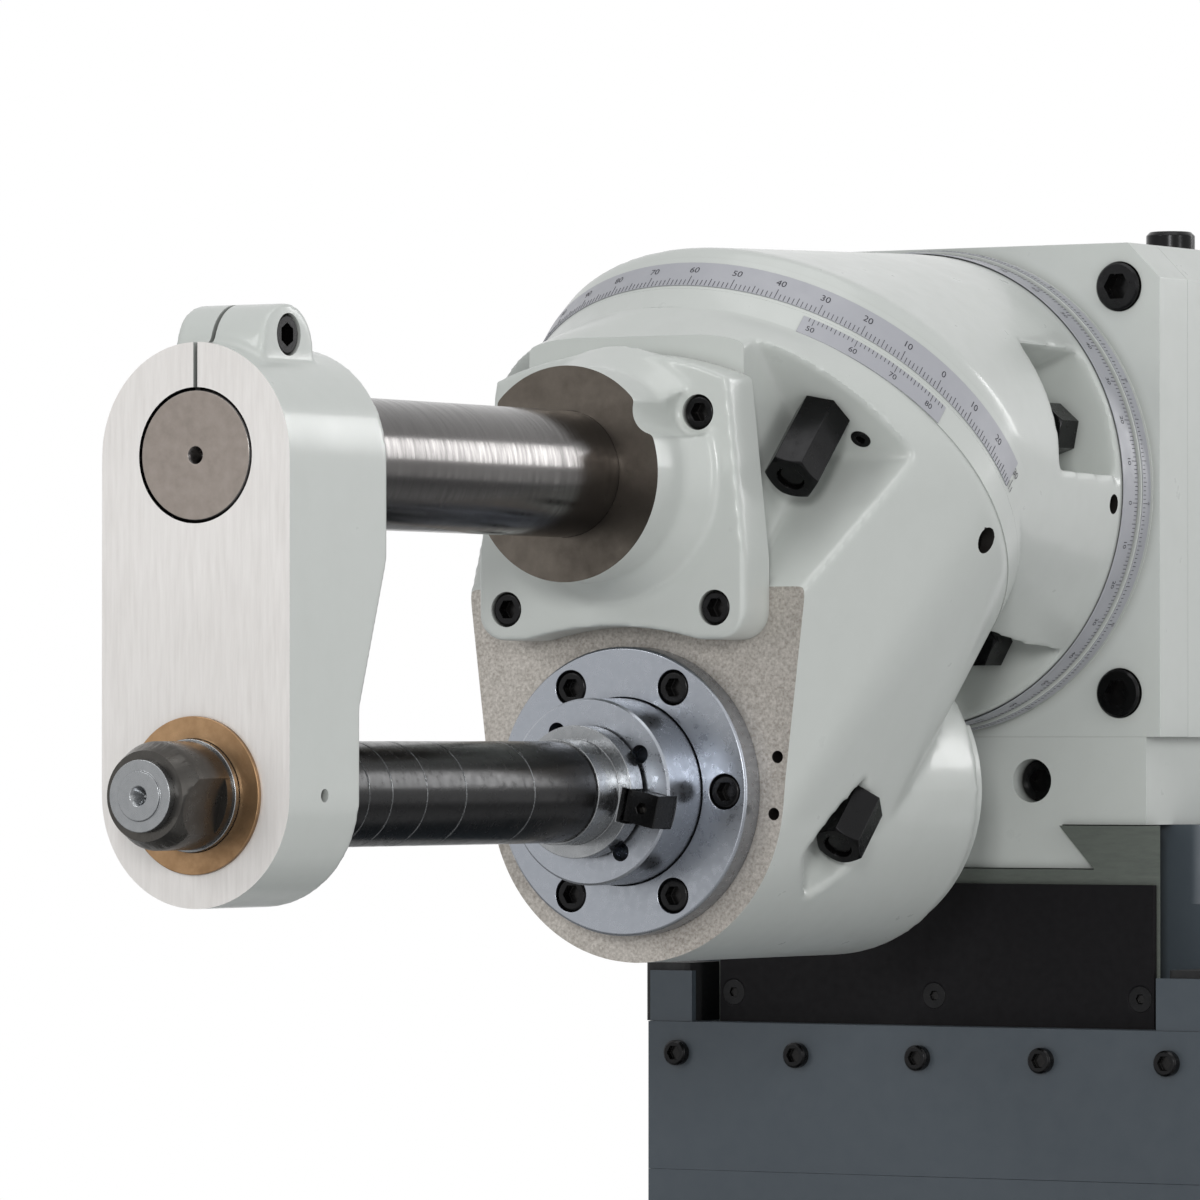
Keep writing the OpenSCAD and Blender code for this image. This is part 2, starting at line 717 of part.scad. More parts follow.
module head_housing() {
  color(paint) difference() {
    union() {
      hull() {
        joint() translate([0, 0, rim_t - 2]) cylinder(r = joint_r - 4, h = 4);
        front(0, joint_y - 28, spindle_z) cylinder(r = housing_r - 1, h = face_out - 34);
        front(0, face_y + 12, ram_axis_z + 1.5) linear_extrude(12) {
          round_rect(2 * face_half, 117, 42);
        }
        front(0, face_y + 8, spindle_z) cylinder(r = housing_r - 3, h = 8);
      }
      joint() cylinder(r = joint_r, h = rim_t);
      front(0, cap_y, spindle_z) cylinder(r = housing_r, h = housing_back + face_out - 4);
    }
    // Spindle bore, slanted bore and the over-arm's seat.
    front(0, cap_y + 1, spindle_z) cylinder(d = housing_bore, h = 220);
    joint() translate([0, 0, -1]) cylinder(r = gear_room, h = 46);
    joint() cylinder(r = 52, h = slant_far - 94);
    joint() translate([0, 0, slant_far - 95]) cylinder(r1 = 52, r2 = 40, h = 13);
    front(0, joint_y - 112, ram_axis_z) cylinder(d = bar_d + 2 * gap, h = 60);
    // Open corners above the joint's upper studs, pockets at the lower ones, and the studs' holes.
    joint() for (a = clamp_upper) {
      rotate([0, 0, a]) translate([joint_bolt_r, 0, -1]) cylinder(r = 6.5, h = 60);
    }
    joint() for (s = [-1, 1]) {
      translate([s > 0 ? 60 : -180, 51, head_flange_t]) cube([120, 120, 150]);
    }
    joint() for (a = clamp_lower) {
      rotate([0, 0, a]) {
        translate([joint_bolt_r, 0, -1]) cylinder(r = 6.5, h = low_seat + 2);
        translate([joint_bolt_r, 0, low_seat]) cylinder(r = 18, h = 52);
      }
    }
    joint() for (s = [-1, 1]) {
      translate([s * (clamp_off + 31), -clamp_off, low_seat + 26]) {
        cube([40, 34, 52], center = true);
      }
    }
    for (a = [0:60:300]) {
      front(0, face_y + 26, spindle_z) rotate([0, 0, a]) translate([ring_screw_r, 0, -1]) {
        cylinder(d = m10 + 2 * gap, h = 30);
      }
    }
    for (a = cap_screw_angles) {
      front(0, cap_y + 1, spindle_z) rotate([0, 0, a]) translate([cap_screw_r, 0, 0]) {
        cylinder(d = m8 + 2 * gap, h = 16);
      }
    }
    for (at = bracket_bolts) {
      front(at[0], face_y + 26, ram_axis_z + at[1]) cylinder(d = m10 + 2 * gap, h = 27);
    }
    for (at = small_holes) {
      front(at[0], face_y + 10, ram_axis_z + at[1]) cylinder(r = 3, h = 11);
    }
    joint() {
      translate([92, 62, head_flange_t - 8]) cylinder(r = plug_r + gap, h = 9);
      rotate([0, 0, -7]) translate([joint_r - 16, 0, 26]) rotate([0, 90, 0]) {
        cylinder(r = rim_plug_r + gap, h = 26);
      }
    }
  }
}

module head_clamp_nuts() {
  color(dark) joint() {
    for (a = clamp_upper) {
      rotate([0, 0, a]) translate([joint_bolt_r, 0, head_flange_t]) {
        tee_stud(24, 44, 6, head_flange_t + joint_slot_t - 1, 11, 9.7);
      }
    }
    for (a = clamp_lower) {
      rotate([0, 0, a]) translate([joint_bolt_r, 0, low_seat]) {
        tee_stud(22, 30, 6, low_seat + joint_slot_t - 1, 11, 9.7);
      }
    }
  }
}

module head_scale() {
  color([0.72, 0.72, 0.80]) joint() difference() {
    translate([0, 0, 2]) tube(joint_r + 0.5, joint_r + 0.03, 11);
    rotate([0, 0, 22.5]) translate([-200, -400, -30]) cube([400, 400, 60]);
    rotate([0, 0, 59]) translate([-200, 0, -30]) cube([400, 400, 60]);
  }
}

module head_plugs() {
  color(dark) joint() {
    translate([92, 62, head_flange_t - 8]) difference() {
      cylinder(r = plug_r, h = 8.6);
      translate([0, 0, 5]) cylinder(r = plug_r / 2, h = 5, $fn = 6);
    }
    rotate([0, 0, -7]) translate([joint_r - 16, 0, 26]) rotate([0, 90, 0]) difference() {
      cylinder(r = rim_plug_r, h = 8);
      translate([0, 0, 4]) cylinder(r = rim_plug_r / 2, h = 5, $fn = 6);
    }
  }
}

module ring_flange() {
  color(steel) difference() {
    union() {
      front(0, face_y, spindle_z) cylinder(d = ring_d, h = ring_t - 1);
      front(0, ring_y + 1, spindle_z) cylinder(d1 = ring_d, d2 = ring_d - 2, h = 1);
    }
    front(0, face_y + 1, spindle_z) cylinder(d = nose_d + 1, h = ring_t + 2);
    for (a = [0:60:300]) {
      front(0, ring_y + 0.5, spindle_z) rotate([0, 0, a]) translate([ring_screw_r, 0, 0]) {
        screw_space(m10, m10_head, 9, 28);
      }
    }
  }
}

module ring_screws() {
  color(dark) for (a = [0:60:300]) {
    front(0, ring_y + 0.5, spindle_z) rotate([0, 0, a]) translate([ring_screw_r, 0, 0]) {
      socket_screw(m10, m10_head, 9, 26);
    }
  }
}

module rear_cap() {
  color(paint) difference() {
    union() {
      front(0, cap_y + cap_t - 3, spindle_z) cylinder(r = cap_r, h = cap_t - 3);
      front(0, cap_y + cap_t, spindle_z) cylinder(r1 = cap_r - 3, r2 = cap_r, h = 3);
    }
    front(0, cap_y + cap_t - 5, spindle_z) cylinder(r = 24, h = cap_t);
    translate([-100, cap_y - 10, spindle_z + cap_flat]) cube([200, 60, 100]);
    for (a = cap_screw_angles) {
      front(0, cap_y + cap_t, spindle_z) rotate([0, 0, a]) translate([cap_screw_r, 0, 0]) {
        rotate([180, 0, 0]) screw_space(m8, m8_head, 8, 22);
      }
    }
  }
}

module cap_screws() {
  color(dark) for (a = cap_screw_angles) {
    front(0, cap_y + cap_t, spindle_z) rotate([0, 0, a]) translate([cap_screw_r, 0, 0]) {
      rotate([180, 0, 0]) socket_screw(m8, m8_head, 8, 18);
    }
  }
}

// Outline of the bracket's plate: narrower at the top, arched above the ring flange.
module bracket_outline() {
  half = bracket_w / 2;
  difference() {
    intersection() {
      translate([0, -9.5]) round_rect(bracket_w, 137, 14);
      polygon([[-half, -80], [half, -80], [half, -40], [half - 11, 60], [11 - half, 60],
        [-half, -40]]);
      translate([0, -112]) circle(r = 171);
    }
    translate([0, -253.5]) circle(r = 182);
  }
}

module overarm_bracket() {
  color(paint) difference() {
    union() {
      front(0, face_y, ram_axis_z) linear_extrude(bracket_t) bracket_outline();
      front(0, face_y, ram_axis_z) cylinder(r = 51, h = boss_out);
      front(0, face_y - bracket_t + 1, ram_axis_z) cylinder(r1 = 58, r2 = 50.5, h = 16);
    }
    front(0, face_y + 1, ram_axis_z) cylinder(d = bar_d + 2 * run_fit, h = boss_out + 2);
    for (at = bracket_bolts) {
      front(at[0], face_y - bracket_t + 1, ram_axis_z + at[1]) {
        screw_space(m10, m10_head, 10, 34);
      }
    }
    // The boss is scalloped beside the upper screws, for the key.
    for (at = [bracket_bolts[2], bracket_bolts[3]]) {
      front(at[0], face_y - bracket_t, ram_axis_z + at[1]) cylinder(r = 12.5, h = boss_out);
    }
  }
}

module bracket_screws() {
  color(dark) for (at = bracket_bolts) {
    front(at[0], face_y - bracket_t + 1, ram_axis_z + at[1]) {
      socket_screw(m10, m10_head, 10, 34);
    }
  }
}

module head_bearings() {
  color(steel) {
    front(0, joint_y - 86, spindle_z) tube(housing_bore / 2, 36 + run_fit, 30);
    front(0, joint_y + 52, spindle_z) tube(housing_bore / 2, spindle_d / 2 + run_fit, 24);
    joint() translate([0, 0, 48]) tube(52, 22 + run_fit, 18);
    joint() translate([0, 0, 76]) tube(52, 22 + run_fit, 16);
  }
}

module cross_shaft() {
  color(steel) joint() {
    joint_gear();
    translate([0, 0, 36]) cylinder(r = 30, h = 11);
    translate([0, 0, 40]) cylinder(r = 22, h = slant_far - 112 - 40 + 2);
    translate([0, 0, slant_far]) rotate([180, 0, 0]) spindle_gear();
  }
}

module spindle() {
  color(steel) difference() {
    union() {
      translate([0, apex_y, spindle_z]) rotate([-90, 0, 0]) spindle_gear();
      front(0, joint_y - 118, spindle_z) cylinder(d = nose_d, h = joint_y - 119 - nose_y);
      front(0, nose_y + 1, spindle_z) cylinder(d1 = nose_d, d2 = nose_d - 2, h = 1);
      front(0, joint_y - 84, spindle_z) cylinder(d = 72, h = 35);
      front(0, joint_y + 58, spindle_z) cylinder(d = spindle_d, h = 143);
    }
    front(0, nose_y + 68, spindle_z) cylinder(d1 = 25, d2 = taper_d, h = 68.01);
    front(0, joint_y + 59, spindle_z) cylinder(d = 20, h = 300);
    front(0, nose_y + 40, spindle_z) rotate([0, 0, spin_rest]) for (a = [0, 90, 180, 270]) {
      rotate([0, 0, a + 45]) translate([33.35, 0, 18]) cylinder(d = 9, h = 30);
    }
    front(0, nose_y, spindle_z) rotate([0, 0, spin_rest]) for (s = [0, 180]) {
      rotate([0, 0, s]) translate([26, -8, -8]) cube([40, 16, 10]);
    }
  }
}

module drive_keys() {
  color(dark) front(0, nose_y, spindle_z) rotate([0, 0, spin_rest]) for (s = [0, 180]) {
    rotate([0, 0, s]) difference() {
      translate([26.2, -7.9, -7.9]) cube([17, 15.8, 16]);
      translate([35, 0, 2]) cylinder(d = 6, h = 8, $fn = 6);
    }
  }
}

module draw_bar() {
  color(dark) {
    front(0, joint_y + 58, spindle_z) cylinder(d = 16, h = 180);
    front(0, joint_y + 67, spindle_z) cylinder(d = 30, h = 9, $fn = 6);
  }
}

module arbor() {
  bright = [0.78, 0.79, 0.80];
  color(bright) difference() {
    union() {
      front(0, nose_y + 66, spindle_z) cylinder(d1 = 25.2, d2 = taper_d - 0.1, h = 66);
      front(0, nose_y, spindle_z) cylinder(d = 40, h = 2);
      front(0, nose_y - 2, spindle_z) cylinder(d = arbor_flange_d, h = 11);
      front(0, nose_y - 13, spindle_z) cylinder(d = sleeve_d, h = 18);
      front(0, nose_y - 31, spindle_z) cylinder(d = arbor_d, h = -support_y + nose_y - 31 + 43);
      front(0, support_y - 42, spindle_z) cylinder(d = 22, h = 2);
    }
    front(0, nose_y, spindle_z) rotate([0, 0, spin_rest]) for (s = [0, 180]) {
      rotate([0, 0, s]) translate([25.5, -8.2, 1]) cube([20, 16.4, 20]);
    }
    front(0, support_y - 38, spindle_z) cylinder(d1 = 1, d2 = 9, h = 6.1);
    front(0, nose_y + 67, spindle_z) cylinder(d = 16.2, h = 28);
  }
}

module arbor_spacers() {
  // Lengths of the spacing collars from the nose forward, with a hairline groove at each end.
  starts = [0, 55, 114, 147, 176, 195];
  ends = [55, 114, 147, 176, 195, 241];
  color(dark) for (k = [0:5]) {
    front(0, nose_y - 31 - starts[k], spindle_z) difference() {
      union() {
        translate([0, 0, 0.5]) cylinder(d = spacer_d, h = ends[k] - starts[k] - 1);
        translate([0, 0, 0.02]) cylinder(d = spacer_d - 1, h = ends[k] - starts[k] - 0.04);
      }
      translate([0, 0, -1]) cylinder(d = arbor_d, h = ends[k] - starts[k] + 2);
    }
  }
}

module arbor_sleeve() {
  start = nose_y - 31 - 241;
  color(steel) front(0, start, spindle_z) difference() {
    cylinder(d = sleeve_d, h = start - support_y + 5);
    translate([0, 0, -1]) cylinder(d = arbor_d, h = 200);
  }
}

module arbor_nut() {
  start = support_y - 5;
  color(dark) front(0, start, spindle_z) difference() {
    union() {
      cylinder(d = spacer_d, h = nut_len - 9);
      translate([0, 0, nut_len - 9]) cylinder(d1 = spacer_d, d2 = spacer_d - 8, h = 9);
    }
    translate([0, 0, -1]) cylinder(d = arbor_d, h = 60);
    for (s = [-1, 1]) {
      rotate([0, 0, spin_rest]) translate([s * 30.5 - 10, -30, 5]) cube([20, 60, 40]);
    }
  }
}

module overarm_bar() {
  color(steel) difference() {
    union() {
      front(0, joint_y - 113, ram_axis_z) cylinder(d = bar_d, h = support_out + face_out - 115);
      front(0, support_y + 2, ram_axis_z) cylinder(d1 = bar_d, d2 = bar_d - 3, h = 2);
    }
    front(0, support_y + 6, ram_axis_z) cylinder(d1 = 1, d2 = 8, h = 6.1);
  }
}

// Outline of the arbor support: a slot shape round its two bores.
module support_outline(w) {
  circle(d = w);
  translate([0, -spindle_drop]) circle(d = w);
  translate([-w / 2, -spindle_drop]) square([w, spindle_drop]);
}

module arbor_support() {
  color(paint) difference() {
    union() {
      intersection() {
        front(0, support_y + support_t, ram_axis_z) linear_extrude(support_t) {
          support_outline(support_w);
        }
        // The side profile is thick round the bar and thins towards the arbor.
        translate([-100, 0, ram_axis_z]) rotate([90, 0, 90]) linear_extrude(200) polygon([
          [support_y, -spindle_drop - 60], [support_y + support_low_t, -spindle_drop - 60],
          [support_y + support_low_t, -spindle_drop + 42], [support_y + support_t, -44],
          [support_y + support_t, 60], [support_y, 60]]);
      }
      translate([-20, support_y + 34, ram_axis_z + 47]) rotate([0, 90, 0]) {
        cylinder(r = 21, h = 47);
      }
      translate([-20, support_y + 13, ram_axis_z + 20]) cube([47, 42, 27]);
    }
    front(0, support_y + support_t + 1, ram_axis_z) {
      cylinder(d = bar_d + 2 * run_fit, h = support_t + 2);
    }
    front(0, support_y + support_t + 1, spindle_z) cylinder(d = bush_d, h = support_t + 2);
    // Clamping slit above the bar's bore, and the clamp screw's seat.
    translate([-1.2, support_y - 1, ram_axis_z + 20]) cube([2.4, support_t + 2, 80]);
    translate([27, support_y + 34, ram_axis_z + 54]) rotate([0, 90, 0]) {
      screw_space(m12, m12_head, 11, 31);
    }
    translate([0, support_y + 28, spindle_z]) rotate([0, 90, 0]) cylinder(r = 3, h = 80);
  }
}

module support_bush() {
  color([0.72, 0.52, 0.30]) difference() {
    front(0, support_y + support_low_t + 2, spindle_z) cylinder(d = bush_d, h = support_low_t + 4);
    front(0, support_y + support_t, spindle_z) cylinder(d = sleeve_d + 2 * run_fit, h = 100);
  }
}

module support_screw() {
  color(dark) translate([26, support_y + 34, ram_axis_z + 54]) rotate([0, 90, 0]) {
    socket_screw(m12, m12_head, 10, 29);
  }
}

module knee_casting() {
  color(slate) difference() {
    union() {
      translate([-slide_w / 2, slide_y + strip_t, slide_low]) {
        cube([slide_w, column_front - slide_y - strip_t - 4, slide_top - slide_low]);
      }
      translate([-slide_w / 2, slide_y, slide_low]) {
        cube([slide_w, strip_t + 1, slide_top - slide_low - strip_h]);
      }
      translate([-125, 0, 0]) rotate([90, 0, 90]) linear_extrude(250) polygon([
        [slide_y + 1, guide_z], [slide_y + 1, 640], [elevate_y + 70, 700],
        [elevate_y - 70, 700], [-770, 790], [-770, guide_z]]);
      translate([-slide_w / 2, slide_y, 640]) {
        cube([slide_w, column_front - slide_y - 4, slide_low - 640 + 1]);
      }
      // Guide for the table, along X.
      translate([-125, table_y, guide_z - 1]) rotate([90, 0, 90]) linear_extrude(250) {
        polygon([[-72, 0], [72, 0], [88, guide_h], [-88, guide_h]]);
      }
    }
    // Opening round the upright ways and their cover, with room for the slide's gib.
    translate([0, 0, 600]) linear_extrude(900) polygon([
      [-ways_half - 9, cover_y - 1], [ways_half + 1, cover_y - 1],
      [ways_half + side_gap, column_front - ways_t], [ways_root + side_gap, column_front],
      [ways_root + side_gap, column_front + 2], [-ways_root - 9, column_front + 2],
      [-ways_root - 9, column_front], [-ways_half - 9, column_front - ways_t]]);
    translate([-130, table_y - 22, screw_z - 24]) cube([260, 44, 60]);
    translate([0, elevate_y, 690]) cylinder(r = 20 + run_fit, h = 61);
    translate([0, elevate_y, 749]) cylinder(r = 40, h = 120);
    front(0, -560, crank_z) cylinder(r = 15 + run_fit, h = 230);
    front(0, elevate_y, crank_z) cylinder(r = 40, h = 60);
    for (k = [-2:2]) {
      front(k * strip_pitch, slide_y + strip_t + 18, slide_top - 16) {
        cylinder(d = m8 + 2 * gap, h = 20);
      }
    }
  }
}

module knee_gib() {
  color(steel) translate([0, 0, slide_low]) linear_extrude(slide_top - slide_low) polygon([
    [-ways_root - 9 + seat_gap + ways_slope * -4, column_front - 4],
    [-ways_root - 9 + gib_t + ways_slope * -4, column_front - 4],
    [-ways_half - 9 + gib_t + ways_slope * 0.5, column_front - ways_t + 0.5],
    [-ways_half - 9 + seat_gap + ways_slope * 0.5, column_front - ways_t + 0.5]]);
}

module knee_strip() {
  color(slate) difference() {
    front(0, slide_y + strip_t, slide_top - strip_h / 2) linear_extrude(strip_t) {
      square([slide_w, strip_h - 0.2], center = true);
    }
    for (k = [-2:2]) {
      front(k * strip_pitch, slide_y + strip_t + 1, slide_top - 16) {
        cylinder(d = m8 + 2 * gap, h = 10);
      }
    }
  }
}

module strip_screws() {
  color(dark) for (k = [-2:2]) {
    front(k * strip_pitch, slide_y - 5, slide_top - 16) socket_screw(m8, m8_head, 5, 13);
  }
}

module way_wipers() {
  color(dark) for (s = [-1, 1]) {
    translate([s * (slide_w / 2 - 8), slide_y + 24, slide_top]) linear_extrude(30) {
      round_rect(26, 38, 3);
    }
  }
  color([0.45, 0.47, 0.50]) for (s = [-1, 1]) {
    translate([s * (slide_w / 2 - 13) - 12.5, slide_y + 1, slide_top]) cube([25, 4, 26]);
  }
}

module elevating_screw() {
  color(steel) translate([0, elevate_y, 0]) {
    translate([0, 0, 316]) cylinder(r = 20, h = 434);
    translate([0, 0, 749.5]) cylinder(r = 30, h = 20);
    translate([0, 0, 760]) cylinder(r = 20, h = 40);
    translate([0, 0, crank_z]) rotate([180, 0, 0]) knee_gear();
    translate([0, 0, 691]) cylinder(r = 26, h = 8.5);
  }
}

module knee_crank() {
  color(steel) {
    front(0, elevate_y, crank_z) knee_gear();
    front(0, elevate_y - 35, crank_z) cylinder(r = 15, h = 241);
    front(0, -770.5, crank_z) cylinder(r = 26, h = 14);
    front(0, -784, crank_z) cylinder(r = 17, h = 15);
    front(0, -786, crank_z) translate([0, -7, 0]) cube([150, 14, 10]);
    front(150, -785, crank_z) cylinder(r = 14, h = 12);
    front(150, -796, crank_z) cylinder(r = 6, h = 22);
  }
  color(dark) front(150, -817.5, crank_z) cylinder(r1 = 10, r2 = 14, h = 80);
}

module table() {
  color([0.60, 0.61, 0.60]) difference() {
    translate([-table_l / 2, table_y - table_w / 2, guide_z]) cube([table_l, table_w, table_t]);
    for (k = [-1, 0, 1]) {
      translate([-table_l, table_y + k * slot_pitch - slot_w / 2, table_top - 24]) {
        cube([2 * table_l, slot_w, 40]);
      }
      translate([-table_l, table_y + k * slot_pitch - 12, table_top - 24]) {
        cube([2 * table_l, 24, 10]);
      }
    }
    translate([-table_l, table_y, guide_z - 1.1]) rotate([90, 0, 90]) linear_extrude(2 * table_l) {
      polygon([[-73, 0], [73, 0], [89, guide_h + 1.6], [-89, guide_h + 1.6]]);
    }
    for (s = [-1, 1]) {
      translate([-table_l, table_y + s * (table_w / 2 - 14) - 7, table_top - 8]) {
        cube([2 * table_l, 14, 20]);
      }
    }
    translate([-200, table_y - table_w / 2 - 1, guide_z + 24]) cube([400, 7, 12]);
  }
}

module table_brackets() {
  color(slate) for (s = [-1, 1]) {
    translate([s * (table_l / 2 + 16), 0, 0]) difference() {
      translate([-16, table_y - 65, guide_z - 22]) cube([32, 130, 68]);
      translate([-20, table_y, screw_z]) rotate([0, 90, 0]) {
        cylinder(d = screw_d + 2 * run_fit, h = 60);
      }
    }
  }
}

module table_nut() {
  color([0.72, 0.52, 0.30]) difference() {
    translate([-30, table_y - 22, screw_z - 24]) cube([60, 44, 38]);
    translate([-40, table_y, screw_z]) rotate([0, 90, 0]) {
      cylinder(d = screw_d + 2 * run_fit, h = 80);
    }
  }
}

module table_screw() {
  half = table_l / 2 + 32;
  color(steel) translate([0, table_y, screw_z]) rotate([0, 90, 0]) {
    translate([0, 0, -half - 45]) cylinder(d = screw_d, h = 2 * half + 90);
    for (s = [-1, 1]) {
      translate([0, 0, s * (half + 20) - 14]) tube(24, screw_d / 2, 28);
      translate([0, 0, s * (half + 30)]) {
        rotate_extrude() translate([86, 0]) circle(r = 9);
        for (k = [0:2]) {
          rotate([0, 0, k * 120]) translate([20, -6, -4]) cube([60, 12, 8]);
        }
        translate([86, 0, s > 0 ? 0 : -22]) cylinder(r = 5, h = 22);
      }
    }
  }
  color(dark) translate([0, table_y, screw_z]) rotate([0, 90, 0]) for (s = [-1, 1]) {
    translate([86, 0, s * (half + 30)]) mirror([0, 0, s > 0 ? 0 : 1]) translate([0, 0, 22]) {
      cylinder(r1 = 9, r2 = 13, h = 50);
    }
  }
}

base_casting();
column();
vertical_ways();
way_cover_panel();
panel_screws();
column_door();
door_pins();
control_box();
main_switch();
stop_button();
elevating_nut();
ram_gib();
ram_body();
ram_plate();
ram_plate_screws();
ram_oil_cap();
ram_bearings();
ram_gearbox();
ram_motor();
speed_lever();
drive_shaft();
ram_feed_wheel();
ram_scale();
mid_housing();
mid_clamp_nuts();
mid_scales();
head_housing();
head_clamp_nuts();
head_scale();
head_plugs();
ring_flange();
ring_screws();
rear_cap();
cap_screws();
overarm_bracket();
bracket_screws();
head_bearings();
cross_shaft();
spindle();
drive_keys();
draw_bar();
arbor();
arbor_spacers();
arbor_sleeve();
arbor_nut();
overarm_bar();
arbor_support();
support_bush();
support_screw();
knee_casting();
knee_gib();
knee_strip();
strip_screws();
way_wipers();
elevating_screw();
knee_crank();
table();
table_brackets();
table_nut();
table_screw();
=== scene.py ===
# %% [markdown]
# # A universal milling machine with a swivelling head
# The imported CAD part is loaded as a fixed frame. It gives every piece its place, its size and the
# body it moves with, and none of its meshes is moved here. This script adds what the CAD leaves
# out: cast and ground surfaces, soft cast corners, scales, light and camera.
# The row frame is used throughout: metres, +Z up, -Y to the machine's front, +X to its right.

# %% Load the frame
import math

import bmesh
import bpy
from mathutils import Matrix, Vector


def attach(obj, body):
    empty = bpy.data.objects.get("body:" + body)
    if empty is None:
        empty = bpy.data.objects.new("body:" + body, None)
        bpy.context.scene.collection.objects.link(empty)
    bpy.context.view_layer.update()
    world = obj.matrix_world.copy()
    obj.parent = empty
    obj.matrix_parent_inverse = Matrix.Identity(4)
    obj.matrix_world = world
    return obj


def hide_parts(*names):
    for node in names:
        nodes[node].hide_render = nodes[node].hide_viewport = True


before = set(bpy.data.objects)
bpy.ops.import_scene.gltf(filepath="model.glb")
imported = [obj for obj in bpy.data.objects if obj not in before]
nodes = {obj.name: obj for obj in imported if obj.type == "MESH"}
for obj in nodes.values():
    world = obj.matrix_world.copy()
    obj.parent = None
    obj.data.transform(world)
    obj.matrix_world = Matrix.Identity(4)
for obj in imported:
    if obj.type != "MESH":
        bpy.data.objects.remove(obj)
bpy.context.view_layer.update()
scene = bpy.context.scene
print("frame loaded:", len(nodes), "CAD nodes")

# %% [markdown]
# ## Places that the pieces share
# The real machine hangs on a few axes. The over-arm bar lies on the ram's axis, the spindle lies
# 150 mm below it, and the head turns about an axis that points down and forward at 45 degrees.
# Such an axis could be an empty object with the pieces parented to it. A matrix is simpler: a mesh
# that is built through it comes out in its final place, so no piece has to be moved afterwards.

# %% Shared places
MM = 0.001
RAM_Z = 1.650
SPINDLE_Z = 1.500
JOINT_Y = -0.440

FRONT = Matrix.Rotation(math.radians(90), 4, "X")
ACROSS = Matrix.Rotation(math.radians(90), 4, "Y")
SLANT = Matrix.Translation((0, JOINT_Y, RAM_Z)) @ Matrix.Rotation(math.radians(135), 4, "X")


def front(x, y, z):
    """A frame at that point whose +Z looks to the machine's front."""
    return Matrix.Translation((x, y, z)) @ FRONT


print("the slanted joint looks along", [round(v, 3) for v in SLANT.to_3x3() @ Vector((0, 0, 1))])

# %% [markdown]
# ## Small tools for shader nodes
# A material could be painted as an image, but an image needs an unwrapped mesh and looks coarse in
# a close view. Node trees made by a script stay sharp at every distance. Making them takes many
# nearly equal lines, so a few short functions do the adding and linking.


# %% Node tools
def feed(tree, socket, value):
    """Links another socket to this one, or sets it to a constant."""
    if hasattr(value, "links"):
        tree.links.new(value, socket)
    else:
        socket.default_value = value


def node(tree, kind, **settings):
    """A node with its settings; a key with a leading capital is an input socket."""
    made = tree.nodes.new(kind)
    for key, value in settings.items():
        if key[0].isupper():
            feed(tree, made.inputs[key.replace("_", " ")], value)
        else:
            setattr(made, key, value)
    return made


def mix_color(tree, factor, a, b):
    """Mixes two colours; each argument is a socket or a constant."""
    made = node(tree, "ShaderNodeMix", data_type="RGBA", blend_type="MIX")
    for socket, value in ((made.inputs[0], factor), (made.inputs[6], a), (made.inputs[7], b)):
        feed(tree, socket, value)
    return made.outputs[2]


def math_node(tree, operation, *values, clamp=False):
    """One arithmetic step; each value is a socket or a number."""
    made = node(tree, "ShaderNodeMath", operation=operation, use_clamp=clamp)
    for socket, value in zip(made.inputs, values):
        feed(tree, socket, value)
    return made.outputs[0]


def group(name, inputs, outputs):
    """A new shader node group with its sockets, and its input and output nodes."""
    tree = bpy.data.node_groups.new(name, "ShaderNodeTree")
    for label, kind, value in inputs:
        tree.interface.new_socket(label, in_out="INPUT", socket_type=kind).default_value = value
    for label, kind in outputs:
        tree.interface.new_socket(label, in_out="OUTPUT", socket_type=kind)
    return tree, tree.nodes.new("NodeGroupInput"), tree.nodes.new("NodeGroupOutput")


print("node tools ready")

# %% [markdown]
# ## Grain
# Real paint and iron are never one flat colour: casting, grinding and handling leave a faint mottle
# and a roughness that changes from place to place. Noise at two sizes gives both. Squeezed along
# one axis, it turns into brush or lathe marks that run across that axis. The noise reads Object
# coordinates, so it needs no unwrapping and doesn't slide when a piece moves.


